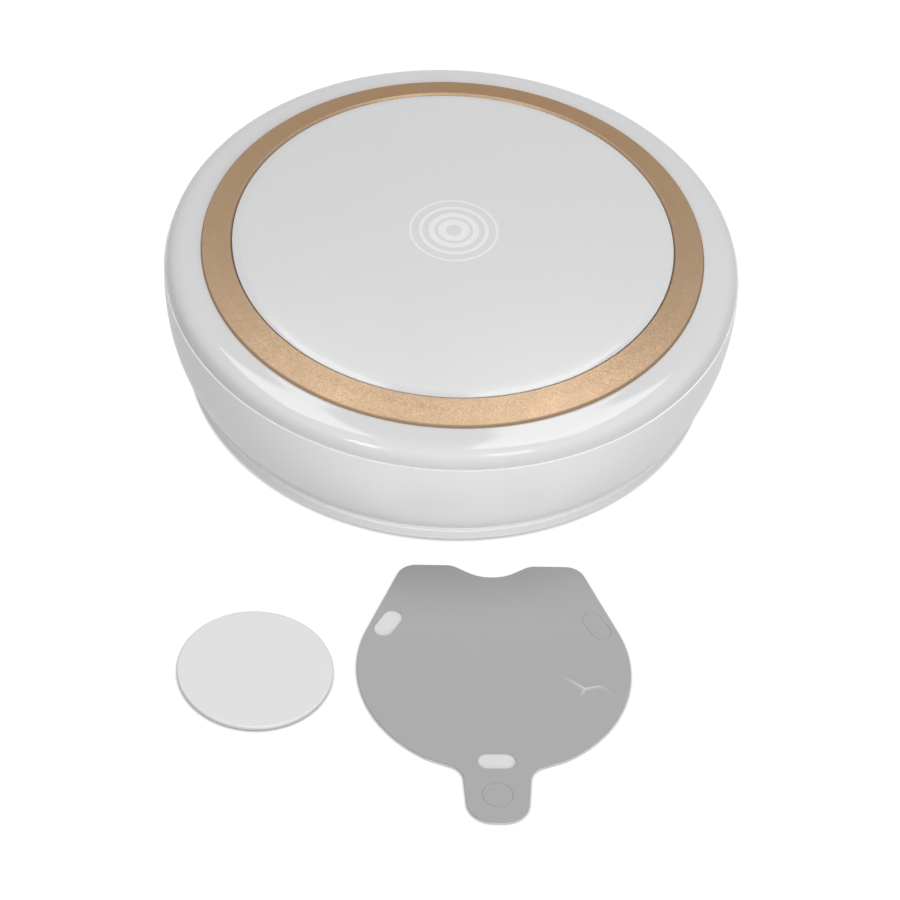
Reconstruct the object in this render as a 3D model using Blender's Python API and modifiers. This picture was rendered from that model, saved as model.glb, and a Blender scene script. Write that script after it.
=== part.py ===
"""Round touch night light, with the iron mounting disc and the adhesive sheet that lie beside it.

The lamp stands on its base: the origin is on its axis at the underside, +Z up. The charging socket
and the power switch look out of the rear wall, towards +Y. The disc and the sheet lie in front of
the lamp, towards -Y, on the same surface. Metres throughout.
"""

import math

import bmesh
import bpy
from mathutils import Matrix, Vector

# General clearances and walls
GAP = 0.0003
FILM_GAP = 0.0001
WALL = 0.0020
CUT_OVERRUN = 0.0040
SMALL_BEVEL = 0.0002
MERGE_DISTANCE = 0.00001

# Base cover
RIM_STAND_OUT = 0.0008
BASE_FOOT_INSET = 0.0003
BASE_RIM_HEIGHT = 0.0029
RIM_EDGE = 0.0005
RIM_FOOT_HEIGHT = 0.0009
BASE_LAND_WIDTH = 0.0110
BASE_RECESS_DEPTH = 0.0008
BASE_PLATE_TOP = 0.0026
CENTRE_PAD_RADIUS = 0.0170
RECESS_STEP = 0.0005
MAGNET_FLOOR = 0.0022
SPIGOT_WALL = 0.0015
SPIGOT_HEIGHT = 0.0027
BOSS_SEAT_DEPTH = 0.0002

# Lower shell
SEAM_RADIUS = 0.0576
WALL_TAPER = 0.0057
SHELL_HEIGHT = 0.0212
SHELL_UPPER_REACH = 0.0136
SHELL_LOWER_REACH = 0.0034
SHELL_FOOT_LEAN = math.radians(55)

# Top diffuser
SHOULDER_RISE = 0.0041
SHOULDER_WIDTH = 0.0071
SHOULDER_SLOPE = math.radians(8.6)
SHOULDER_INNER_REACH = 0.0040
SHOULDER_OUTER_REACH = 0.0041
SKIRT_HEIGHT = 0.0030
SKIRT_WALL = 0.0015
BEAD_HEIGHT = 0.0006
BEAD_DEPTH = 0.0003
GROOVE_DEPTH = 0.0008
GROOVE_WIDTH = 0.0066
PANEL_EDGE_RISE = 0.0026
PANEL_EDGE = 0.0003
DOME_RISE = 0.0030

# Trim ring
RING_WALL_HEIGHT = 0.0016
RING_CREST_INSET = 0.00035
RING_EDGE = 0.0003
RING_INNER_CHAMFER = 0.0004
RING_LIP = 0.0001
PEG_COUNT = 6
PEG_RADIUS = 0.0009
PEG_STAND_OUT = 0.0012

# Base magnet and its pocket
MAGNET_RADIUS = 0.0100
MAGNET_HEIGHT = 0.0030
POCKET_WALL = 0.0015

# Screws
SCREW_COUNT = 4
SCREW_HEAD_RADIUS = 0.0022
SCREW_HEAD_HEIGHT = 0.0013
SCREW_SHANK_RADIUS = 0.0010
SCREW_DRIVE_RADIUS = 0.0010
SCREW_DRIVE_DEPTH = 0.0006
SCREW_SINK = 0.0001
BASE_SCREW_LENGTH = 0.0085
BOARD_SCREW_LENGTH = 0.0090
CONTROL_SCREW_LENGTH = 0.0045

# Screw bosses and posts
BOSS_RADIUS = 0.0030
BOSS_HEIGHT = 0.0100
BOSS_WALL_GAP = 0.0011
BOSS_RIB_WIDTH = 0.0016
POST_RADIUS = 0.0030
POST_SPACE = 0.0018
POST_TOP = 0.0140
CONTROL_POST_RADIUS = 0.0026
CONTROL_POST_TOP = 0.0080

# Reflector pan and LED board
PAN_THICKNESS = 0.0012
PAN_FLARE = 0.0098
PAN_RIM_WIDTH = 0.0012
BOARD_THICKNESS = 0.0012
BOARD_CLEARANCE = 0.0020
BOARD_EDGE_MARGIN = 0.0040
LED_COUNT = 12
LED_INSET = 0.0080
LED_LENGTH = 0.0035
LED_WIDTH = 0.0028
LED_HEIGHT = 0.0008
WIRE_HOLE_RADIUS = 0.0030
WIRE_HOLE_Y = 0.0200

# Touch sensor
ELECTRODE_RADIUS = 0.0100
ELECTRODE_THICKNESS = 0.0004
SPRING_RADIUS = 0.0032
SPRING_WIRE_RADIUS = 0.00035
SPRING_TURNS = 6
SPRING_TURN_POINTS = 8

# Battery
BATTERY_WIDTH = 0.0200
BATTERY_LENGTH = 0.0300
BATTERY_HEIGHT = 0.0080
BATTERY_EDGE = 0.0012
PAD_THICKNESS = 0.0006
PAD_INSET = 0.0020
RAIL_WALL = 0.0012
RAIL_HEIGHT = 0.0050
RAIL_LENGTH = 0.0160
RAIL_SPACE = 0.0010
STOP_LENGTH = 0.0090

# Control board and what is on it
CONTROL_WIDTH = 0.0300
CONTROL_LENGTH = 0.0156
CONTROL_THICKNESS = 0.0016
CONTROL_SCREW_SIDE_INSET = 0.0025
CONTROL_SCREW_INSET = 0.0040
CHIP_SIZE = 0.0050
CHIP_HEIGHT = 0.0010
CHIP_INSET = 0.0085
SOCKET_X = -0.0065
SOCKET_WIDTH = 0.0090
SOCKET_HEIGHT = 0.0032
SOCKET_LENGTH = 0.0075
SOCKET_SHEET = 0.0004
SOCKET_OVERHANG = 0.0053
TONGUE_THICKNESS = 0.0007
TONGUE_SIDE_CLEARANCE = 0.0010
TONGUE_LENGTH = 0.0048
SOCKET_RECESS_MARGIN = 0.0017
SOCKET_RECESS_DEPTH = 0.0009
SWITCH_X = 0.0075
SWITCH_BODY_WIDTH = 0.0086
SWITCH_BODY_DEPTH = 0.0040
SWITCH_SLOT_HEIGHT = 0.0020
SWITCH_BODY_INSET = 0.0030
SWITCH_TRAVEL = 0.0025
STEM_WIDTH = 0.0016
STEM_HEIGHT = 0.0014
STEM_REACH = 0.0022
KNOB_WIDTH = 0.0030
KNOB_HEIGHT = 0.0026
KNOB_STAND_OUT = 0.0008
KNOB_RIB_COUNT = 3
KNOB_RIB_WIDTH = 0.0004
KNOB_RIB_HEIGHT = 0.0003
LENS_X = 0.0021
LENS_RADIUS = 0.0009
INDICATOR_LENGTH = 0.0008
INDICATOR_WIDTH = 0.0016
INDICATOR_HEIGHT = 0.0024

# Leads
LEAD_RADIUS = 0.0005
LEAD_PITCH = 0.0018
LEAD_PAD_INSET = 0.0014
LEAD_PAD_X = 0.0070
LEAD_ARCH = 0.0024
LEAD_EXIT = 0.0014
BATTERY_LEAD_X_INSET = 0.0016
LEAD_POINTS = 12

# Mounting disc, and the floor that parts it from the lamp and the sheet
DISC_SPACE = 0.0226
DISC_SHEET_SPACE = 0.0042
DISC_RADIUS = 0.0150
DISC_THICKNESS = 0.0009
DISC_EDGE = 0.00025
DISC_PAD_THICKNESS = 0.0002
DISC_PAD_INSET = 0.0005

# Adhesive sheet: an outline symmetrical about its own long axis
SHEET_X = 0.0127
SHEET_SPACE = 0.0062
SHEET_TURN = math.radians(3.4)
SHEET_THICKNESS = 0.0002
LINER_THICKNESS = 0.0002
SHEET_RADIUS = 0.0264
SHEET_FLANK_LEAN = math.radians(22.5)
SHEET_TOP_STAND_OUT = 0.0009
SHEET_CORNER_RADIUS = 0.0040
NOTCH_HALF_WIDTH = 0.0074
NOTCH_DEPTH = 0.0031
NOTCH_CORNER_RADIUS = 0.0040
TAB_ROOT_HALF_WIDTH = 0.0066
TAB_TIP_HALF_WIDTH = 0.0057
TAB_LENGTH = 0.0121
TAB_TIP_RADIUS = 0.0050
TAB_FILLET_RADIUS = 0.0035
SLOT_INSET = 0.0031
SLOT_LENGTH = 0.0070
SLOT_WIDTH = 0.0036
TAB_HOLE_INSET = 0.0068
TAB_HOLE_RADIUS = 0.0028
SLUG_GAP = 0.0001
OUTLINE_TOLERANCE = 0.00006

# Facets round each turned piece, and points along the profiles' curves
STEPS_LARGE = 44
STEPS_MEDIUM = 36
STEPS_SMALL = 24
STEPS_FINE = 12
DOME_POINTS = 5
INNER_DOME_POINTS = 3
SHOULDER_POINTS = 8
SIDE_POINTS = 8
INNER_SIDE_POINTS = 6

# Heights and radii that follow from the sizes above
SHOULDER_RADIUS = SEAM_RADIUS - SHOULDER_WIDTH
PANEL_RADIUS = SHOULDER_RADIUS - GROOVE_WIDTH
SHELL_FOOT_RADIUS = SEAM_RADIUS - WALL_TAPER
SHELL_BOTTOM = BASE_RIM_HEIGHT + GAP
SHELL_TOP = SHELL_BOTTOM + SHELL_HEIGHT
SEAM_HEIGHT = SHELL_TOP + GAP
SHOULDER_HEIGHT = SEAM_HEIGHT + SHOULDER_RISE
GROOVE_FLOOR = SHOULDER_HEIGHT - GROOVE_DEPTH
PANEL_EDGE_HEIGHT = SHOULDER_HEIGHT + PANEL_EDGE_RISE
RING_BOTTOM = GROOVE_FLOOR + GAP
RING_OUTER = SHOULDER_RADIUS - GAP
RING_INNER = PANEL_RADIUS + GAP
RING_MIDDLE = (RING_OUTER + RING_INNER) / 2
SKIRT_OUTER = SEAM_RADIUS - WALL - GAP
SKIRT_INNER = SKIRT_OUTER - SKIRT_WALL
SKIRT_BOTTOM = SEAM_HEIGHT - SKIRT_HEIGHT
SHELL_FOOT_INNER = SHELL_FOOT_RADIUS - WALL
BASE_RADIUS = SHELL_FOOT_RADIUS + RIM_STAND_OUT
POCKET_OUTER = MAGNET_RADIUS + GAP + POCKET_WALL
BATTERY_X = -(POCKET_OUTER + RAIL_SPACE + RAIL_WALL + GAP + BATTERY_WIDTH / 2)
SCREW_HOLE_RADIUS = SCREW_SHANK_RADIUS + GAP
HEAD_HOLE_RADIUS = SCREW_HEAD_RADIUS + GAP
PAN_BOTTOM = POST_TOP + GAP
PAN_FLOOR_RADIUS = SKIRT_INNER - PAN_FLARE
BOARD_RADIUS = PAN_FLOOR_RADIUS - BOARD_CLEARANCE
BOARD_BOTTOM = PAN_BOTTOM + PAN_THICKNESS + GAP
BOARD_TOP = BOARD_BOTTOM + BOARD_THICKNESS
CONTROL_BOTTOM = CONTROL_POST_TOP + GAP
CONTROL_TOP = CONTROL_BOTTOM + CONTROL_THICKNESS
PORT_HEIGHT = CONTROL_TOP + GAP + SOCKET_HEIGHT / 2
SHEET_BOTTOM = LINER_THICKNESS + FILM_GAP
SHEET_TOP_Y = SHEET_RADIUS + SHEET_TOP_STAND_OUT
SHEET_Y = -(BASE_RADIUS + SHEET_SPACE + SHEET_TOP_Y)
SLOT_CIRCLE = SHEET_RADIUS - SLOT_INSET
TAB_TIP_Y = -(SHEET_RADIUS + TAB_LENGTH)
TAB_HOLE_Y = TAB_TIP_Y + TAB_HOLE_INSET
DISC_BOTTOM = DISC_PAD_THICKNESS + FILM_GAP
DISC_X = SHEET_X - SHEET_RADIUS - DISC_SHEET_SPACE - DISC_RADIUS
DISC_Y = -(BASE_RADIUS + DISC_SPACE + DISC_RADIUS)


# Materials


def make_material(name, colour, roughness, metallic=0.0, transmission=0.0):
    """Return a Principled material."""
    material = bpy.data.materials.new(name)
    material.use_nodes = True
    shader = material.node_tree.nodes["Principled BSDF"]
    shader.inputs["Base Color"].default_value = (*colour, 1.0)
    shader.inputs["Roughness"].default_value = roughness
    shader.inputs["Metallic"].default_value = metallic
    shader.inputs["Transmission Weight"].default_value = transmission
    material.diffuse_color = (*colour, 1.0)
    return material


def make_materials():
    """Return every material of the lamp and its fittings by name."""
    return {
        "opal": make_material("opal_plastic", (0.69, 0.69, 0.70), 0.15, transmission=0.1),
        "gold": make_material("gold_metallic_paint", (0.62, 0.42, 0.27), 0.38, metallic=0.9),
        "shell": make_material("white_moulded_plastic", (0.70, 0.70, 0.71), 0.2),
        "base": make_material("white_base_plastic", (0.72, 0.72, 0.72), 0.3),
        "reflector": make_material("white_reflector_plastic", (0.85, 0.85, 0.85), 0.5),
        "board": make_material("white_solder_mask", (0.80, 0.80, 0.78), 0.5),
        "led": make_material("led_phosphor", (0.85, 0.70, 0.25), 0.4),
        "copper": make_material("copper_foil", (0.72, 0.40, 0.25), 0.35, metallic=1.0),
        "spring": make_material("spring_steel", (0.65, 0.65, 0.67), 0.3, metallic=1.0),
        "cell": make_material("battery_wrap", (0.10, 0.22, 0.50), 0.35),
        "foam": make_material("foam_tape", (0.75, 0.75, 0.72), 0.9),
        "red": make_material("red_wire_jacket", (0.55, 0.03, 0.03), 0.5),
        "black": make_material("black_wire_jacket", (0.02, 0.02, 0.02), 0.5),
        "green": make_material("green_solder_mask", (0.03, 0.18, 0.07), 0.4),
        "chip": make_material("black_epoxy", (0.03, 0.03, 0.03), 0.5),
        "steel": make_material("nickel_plated_steel", (0.60, 0.60, 0.62), 0.25, metallic=1.0),
        "knob": make_material("black_switch_plastic", (0.03, 0.03, 0.03), 0.4),
        "lens": make_material("clear_light_pipe", (0.85, 0.85, 0.85), 0.1, transmission=0.9),
        "magnet": make_material("nickel_plated_magnet", (0.55, 0.55, 0.56), 0.2, metallic=1.0),
        "disc": make_material("white_painted_iron", (0.74, 0.74, 0.74), 0.45),
        "liner": make_material("pale_release_film", (0.70, 0.70, 0.70), 0.3),
        "sheet": make_material("grey_adhesive_film", (0.40, 0.40, 0.40), 0.5),
    }


# Collections and objects


def clear_scene():
    """Remove whatever objects the scene starts with."""
    for item in list(bpy.data.objects):
        bpy.data.objects.remove(item, do_unlink=True)


def make_collection(name):
    """Return a new collection linked to the scene."""
    collection = bpy.data.collections.new(name)
    bpy.context.scene.collection.children.link(collection)
    return collection


clear_scene()
PARTS = make_collection("night_light")
CUTTERS = make_collection("night_light_cutters")
MATERIALS = make_materials()


def add_part(name, data, material):
    """Add a part of the object, made of mesh or curve data."""
    part = bpy.data.objects.new(name, data)
    PARTS.objects.link(part)
    data.materials.append(MATERIALS[material])
    return part


def add_tool(name, mesh):
    """Add a cutter or a joining guide, which isn't part of the object."""
    tool = bpy.data.objects.new(name, mesh)
    CUTTERS.objects.link(tool)
    tool.hide_render = True
    tool.display_type = "WIRE"
    return tool


def combine(part, tool, operation):
    """Cut a tool from a part, or join it to the part."""
    modifier = part.modifiers.new(tool.name, "BOOLEAN")
    modifier.operation = operation
    modifier.object = tool
    modifier.solver = "EXACT"


def cut(part, mesh, name):
    """Cut a mesh out of a part."""
    combine(part, add_tool(name, mesh), "DIFFERENCE")


def join(part, mesh, name):
    """Join a mesh to a part."""
    combine(part, add_tool(name, mesh), "UNION")


def bevel_edges(part, width, segments=1):
    """Round a part's sharp edges."""
    modifier = part.modifiers.new("rounded_edges", "BEVEL")
    modifier.width = width
    modifier.segments = segments
    modifier.limit_method = "ANGLE"
    modifier.angle_limit = math.radians(40)


# Basic solids


def turn_profile(name, profile, material, steps, centre=(0.0, 0.0)):
    """Turn a profile of (radius, height) about a vertical axis.

    The profile runs down its outer side, top to bottom, and back up its inner side. One that starts
    and ends on the axis is left open there, and any other is closed.
    """
    mesh = bpy.data.meshes.new(name)
    points = [(radius, 0.0, height) for radius, height in profile]
    edges = [(i, i + 1) for i in range(len(points) - 1)]
    if profile[0][0] > 0.0:
        edges.append((len(points) - 1, 0))
    mesh.from_pydata(points, edges, [])
    part = add_part(name, mesh, material)
    part.location = (centre[0], centre[1], 0.0)
    screw = part.modifiers.new("turned", "SCREW")
    screw.steps = steps
    screw.render_steps = steps
    screw.use_merge_vertices = True
    screw.merge_threshold = MERGE_DISTANCE
    screw.use_smooth_shade = True
    return part


def new_mesh(name, make):
    """Return a mesh filled by a function that works on a bmesh."""
    mesh = bpy.data.meshes.new(name)
    work = bmesh.new()
    make(work)
    work.to_mesh(mesh)
    work.free()
    return mesh


def box_mesh(name, size, centre, turn=0.0):
    """Return a box of a size, turned about the vertical through its centre."""
    placing = Matrix.Translation(Vector(centre)) @ Matrix.Rotation(turn, 4, "Z")
    scaling = Matrix.Diagonal((*size, 1.0))
    return new_mesh(name, lambda work: bmesh.ops.create_cube(work, size=1.0, matrix=placing @ scaling))


def rod_mesh(name, radius, bottom, top, steps=STEPS_FINE):
    """Return an upright rod between two heights on the Z axis."""
    placing = Matrix.Translation((0.0, 0.0, (bottom + top) / 2))
    return new_mesh(name, lambda work: bmesh.ops.create_cone(
        work, cap_ends=True, segments=steps, radius1=radius, radius2=radius, depth=top - bottom,
        matrix=placing))


def moved(mesh, offset):
    """Shift a mesh and return it."""
    mesh.transform(Matrix.Translation(Vector(offset)))
    return mesh


def round_hole(name, radius, x, y, bottom, top, steps=STEPS_FINE):
    """Return an upright rod at a place, to cut a hole or to join a post."""
    return moved(rod_mesh(name, radius, bottom, top, steps), (x, y, 0.0))


def slot_mesh(name, width, height, near, far, x, z, steps=STEPS_FINE):
    """Return a bar along Y whose section is a round rod parted in the middle, like a slot.

    Args run: overall width along X, overall height along Z, the two ends along Y, and the centre.
    """
    radius = height / 2
    reach = width / 2 - radius
    placing = Matrix.Translation((x, (near + far) / 2, z)) @ Matrix.Rotation(math.pi / 2, 4, "X")

    def make(work):
        half_step = Matrix.Rotation(math.pi / steps, 4, "Z")
        bmesh.ops.create_cone(work, cap_ends=True, segments=steps, radius1=radius, radius2=radius,
                              depth=far - near, matrix=half_step)
        for vert in work.verts:
            vert.co.x += math.copysign(reach, vert.co.x)
        bmesh.ops.transform(work, matrix=placing, verts=work.verts)

    return new_mesh(name, make)


def gusset_mesh(name, length, lean, width, height, foot):
    """Return a rib along X whose far end leans outwards, standing on a point at its near end."""

    def make(work):
        bmesh.ops.create_cube(work, size=1.0, matrix=Matrix.Diagonal((length, width, height, 1.0)))
        for vert in work.verts:
            if vert.co.x > 0 and vert.co.z > 0:
                vert.co.x += lean
        offset = Vector(foot) + Vector((length / 2, 0.0, height / 2))
        bmesh.ops.translate(work, verts=work.verts, vec=offset)

    return new_mesh(name, make)


def polar(radius, angle):
    """Return the point at a radius and an angle about the lamp's axis."""
    return radius * math.cos(angle), radius * math.sin(angle)


def spaced_angles(count, start=0.0):
    """Return angles spaced evenly round a circle."""
    return [start + 2 * math.pi * i / count for i in range(count)]


def bezier(start, first_handle, second_handle, end, count):
    """Return points along a cubic curve in the plane of a profile, ends included."""
    points = []
    for i in range(count):
        t = i / (count - 1)
        weights = ((1 - t) ** 3, 3 * t * (1 - t) ** 2, 3 * t * t * (1 - t), t ** 3)
        corners = (start, first_handle, second_handle, end)
        points.append(tuple(sum(w * c[k] for w, c in zip(weights, corners)) for k in (0, 1)))
    return points


def arch(edge_radius, edge_height, rise, count):
    """Return a shallow dome's profile, from its crown on the axis to its edge."""
    sphere = (edge_radius ** 2 + rise ** 2) / (2 * rise)
    points = []
    for i in range(count):
        radius = edge_radius * i / (count - 1)
        drop = sphere - math.sqrt(sphere ** 2 - radius ** 2)
        points.append((radius, edge_height + rise - drop))
    return points


def read_between(pairs, place):
    """Return the value at a place along (place, value) pairs, in straight steps between them."""
    pairs = sorted(pairs)
    for (low, first), (high, second) in zip(pairs, pairs[1:]):
        if low <= place <= high:
            return first + (second - first) * (place - low) / (high - low)
    return pairs[-1][1]


# Outer shape of the housing


def side_curve(inset=0.0, count=SIDE_POINTS):
    """Return the side wall's profile, from the seam down to its foot."""
    top = (SEAM_RADIUS - inset, SHELL_TOP)
    foot = (SHELL_FOOT_RADIUS - inset, SHELL_BOTTOM)
    top_handle = (top[0], top[1] - SHELL_UPPER_REACH)
    foot_handle = (foot[0] + SHELL_LOWER_REACH * math.cos(SHELL_FOOT_LEAN),
                   foot[1] + SHELL_LOWER_REACH * math.sin(SHELL_FOOT_LEAN))
    return bezier(top, top_handle, foot_handle, foot, count)


def wall_radius(height):
    """Return the side wall's outer radius at a height."""
    return read_between([(z, radius) for radius, z in side_curve()], height)


def wall_y(x, height):
    """Return where the rear wall's outer face lies at an x and a height."""
    return math.sqrt(wall_radius(height) ** 2 - x ** 2)


def shoulder_curve():
    """Return the diffuser's shoulder, from beside the ring out and down to the seam."""
    start = (SHOULDER_RADIUS, SHOULDER_HEIGHT)
    end = (SEAM_RADIUS, SEAM_HEIGHT)
    first = (start[0] + SHOULDER_INNER_REACH * math.cos(SHOULDER_SLOPE),
             start[1] - SHOULDER_INNER_REACH * math.sin(SHOULDER_SLOPE))
    second = (end[0], end[1] + SHOULDER_OUTER_REACH)
    return bezier(start, first, second, end, SHOULDER_POINTS)


def inner_dome():
    """Return the profile of the dome's inner face, from its crown to its edge."""
    return arch(PANEL_RADIUS - WALL, PANEL_EDGE_HEIGHT - WALL, DOME_RISE, INNER_DOME_POINTS)


# Housing


def build_top_diffuser():
    """Build the opal dome: touch panel, ring groove, rounded shoulder and snap skirt."""
    dome = arch(PANEL_RADIUS - PANEL_EDGE, PANEL_EDGE_HEIGHT, DOME_RISE, DOME_POINTS)
    underside = GROOVE_FLOOR - WALL
    bead = SKIRT_BOTTOM + SKIRT_HEIGHT / 2
    profile = dome + [
        (PANEL_RADIUS, PANEL_EDGE_HEIGHT - PANEL_EDGE),
        (PANEL_RADIUS, GROOVE_FLOOR),
        (SHOULDER_RADIUS, GROOVE_FLOOR),
    ] + shoulder_curve() + [
        (SKIRT_OUTER, SEAM_HEIGHT),
        (SKIRT_OUTER, bead + BEAD_HEIGHT),
        (SKIRT_OUTER + BEAD_DEPTH, bead),
        (SKIRT_OUTER, bead - BEAD_HEIGHT),
        (SKIRT_OUTER, SKIRT_BOTTOM),
        (SKIRT_INNER, SKIRT_BOTTOM),
        (SKIRT_INNER, SEAM_HEIGHT + SKIRT_WALL),
        (SKIRT_INNER - SKIRT_WALL, underside),
        (PANEL_RADIUS - WALL, underside),
    ] + inner_dome()[::-1]
    part = turn_profile("top_diffuser", profile, "opal", STEPS_LARGE)
    for i, angle in enumerate(spaced_angles(PEG_COUNT)):
        x, y = polar(RING_MIDDLE, angle)
        hole = round_hole(f"peg_hole_{i + 1}", PEG_RADIUS + GAP, x, y, underside - CUT_OVERRUN,
                          RING_BOTTOM, STEPS_FINE)
        cut(part, hole, f"peg_hole_{i + 1}")
    return part


def build_trim_ring():
    """Build the gold ring: a sloping wedge on pegs that pass through the groove's floor."""
    crest = RING_BOTTOM + RING_WALL_HEIGHT
    crest_radius = RING_OUTER - RING_CREST_INSET
    inner_top = PANEL_EDGE_HEIGHT + RING_LIP
    profile = [
        (RING_INNER, inner_top - RING_INNER_CHAMFER),
        (RING_INNER + RING_INNER_CHAMFER, inner_top),
        (crest_radius - RING_EDGE, crest + RING_EDGE / 3),
        (crest_radius, crest - RING_EDGE / 2),
        (RING_OUTER, RING_BOTTOM),
        (RING_INNER, RING_BOTTOM),
    ]
    part = turn_profile("trim_ring", profile, "gold", STEPS_LARGE)
    for i, angle in enumerate(spaced_angles(PEG_COUNT)):
        x, y = polar(RING_MIDDLE, angle)
        peg = round_hole(f"ring_peg_{i + 1}", PEG_RADIUS, x, y, RING_BOTTOM - PEG_STAND_OUT - GAP,
                         RING_BOTTOM + PEG_RADIUS, STEPS_FINE)
        join(part, peg, f"ring_peg_{i + 1}")
    return part


def boss_circle():
    """Return the radius on which the screw bosses stand, inside the wall over their whole height."""
    narrowest = min(wall_radius(SHELL_BOTTOM), wall_radius(SHELL_BOTTOM + BOSS_HEIGHT))
    return narrowest - WALL - BOSS_WALL_GAP - BOSS_RADIUS


def boss_places():
    """Return the screw bosses' places as (angle, x, y)."""
    return [(angle, *polar(boss_circle(), angle)) for angle in spaced_angles(SCREW_COUNT, math.pi / 4)]


def build_lower_shell():
    """Build the tapered side wall with its bosses and the rear wall's windows."""
    bead = SKIRT_BOTTOM + SKIRT_HEIGHT / 2
    groove = [
        (SEAM_RADIUS - WALL, bead - 2 * BEAD_HEIGHT),
        (SEAM_RADIUS - WALL + BEAD_DEPTH, bead),
        (SEAM_RADIUS - WALL, bead + 2 * BEAD_HEIGHT),
    ]
    inner = side_curve(WALL, INNER_SIDE_POINTS)[::-1]
    lower_inner = [point for point in inner if point[1] < groove[0][1] - BEAD_HEIGHT]
    profile = side_curve() + lower_inner + groove + [(SEAM_RADIUS - WALL, SHELL_TOP)]
    part = turn_profile("lower_shell", profile, "shell", STEPS_LARGE)
    boss_top = SHELL_BOTTOM + BOSS_HEIGHT
    rib_height = BOSS_HEIGHT - BOSS_RIB_WIDTH
    for i, (angle, x, y) in enumerate(boss_places()):
        name = f"boss_{i + 1}"
        join(part, round_hole(name, BOSS_RADIUS, x, y, SHELL_BOTTOM, boss_top), name)
        name = f"boss_rib_{i + 1}"
        rib_start = boss_circle() + BOSS_RADIUS / 2
        rib_end = wall_radius(SHELL_BOTTOM) - WALL / 2
        rib_lean = wall_radius(SHELL_BOTTOM + rib_height) - WALL / 2 - rib_end
        rib = gusset_mesh(name, rib_end - rib_start, rib_lean, BOSS_RIB_WIDTH, rib_height,
                          (rib_start, 0.0, SHELL_BOTTOM + SMALL_BEVEL))
        rib.transform(Matrix.Rotation(angle, 4, "Z"))
        join(part, rib, name)
        name = f"boss_bore_{i + 1}"
        bore = round_hole(name, SCREW_HOLE_RADIUS, x, y, SHELL_BOTTOM - CUT_OVERRUN, boss_top - WALL / 2)
        cut(part, bore, name)
    cut_rear_windows(part)
    return part


def socket_face_y():
    """Return where the charging socket's mouth lies: on the floor of the wall's shallow recess."""
    return wall_y(SOCKET_X, PORT_HEIGHT) - SOCKET_RECESS_DEPTH


def cut_rear_windows(part):
    """Cut the socket's window and recess, the switch's window and the light pipe's hole."""
    inside = SHELL_FOOT_INNER - CUT_OVERRUN
    outside = SEAM_RADIUS + CUT_OVERRUN
    window = slot_mesh("socket_window", SOCKET_WIDTH + 2 * GAP, SOCKET_HEIGHT + 2 * GAP, inside, outside,
                       SOCKET_X, PORT_HEIGHT)
    cut(part, window, "socket_window")
    margin = 2 * SOCKET_RECESS_MARGIN
    recess = slot_mesh("socket_recess", SOCKET_WIDTH + margin, SOCKET_HEIGHT + margin, socket_face_y(),
                       outside, SOCKET_X, PORT_HEIGHT)
    cut(part, recess, "socket_recess")
    slot_width = KNOB_WIDTH + SWITCH_TRAVEL + 2 * GAP
    slot_size = (slot_width, outside - inside, KNOB_HEIGHT + 2 * GAP)
    slot = box_mesh("switch_window", slot_size, (SWITCH_X, (inside + outside) / 2, PORT_HEIGHT))
    cut(part, slot, "switch_window")
    lens_width = 2 * (LENS_RADIUS + GAP)
    hole = slot_mesh("lens_hole", lens_width, lens_width, inside, outside, LENS_X, PORT_HEIGHT)
    cut(part, hole, "lens_hole")


def control_places():
    """Return the control board's two screw places."""
    x = CONTROL_WIDTH / 2 - CONTROL_SCREW_SIDE_INSET
    y = control_rear() - CONTROL_LENGTH + CONTROL_SCREW_INSET
    return [(-x, y), (x, y)]


def control_rear():
    """Return the control board's rear edge, set back from the socket's mouth."""
    return socket_face_y() - SOCKET_OVERHANG


def post_circle():
    """Return the radius on which the posts stand: inside the bosses and under the LED board."""
    inside_bosses = boss_circle() - BOSS_RADIUS - POST_SPACE - POST_RADIUS
    return min(inside_bosses, BOARD_RADIUS - BOARD_EDGE_MARGIN)


def post_places():
    """Return the places of the posts that carry the pan and the LED board."""
    return [polar(post_circle(), angle) for angle in spaced_angles(SCREW_COUNT, math.pi / 4)]


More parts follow.
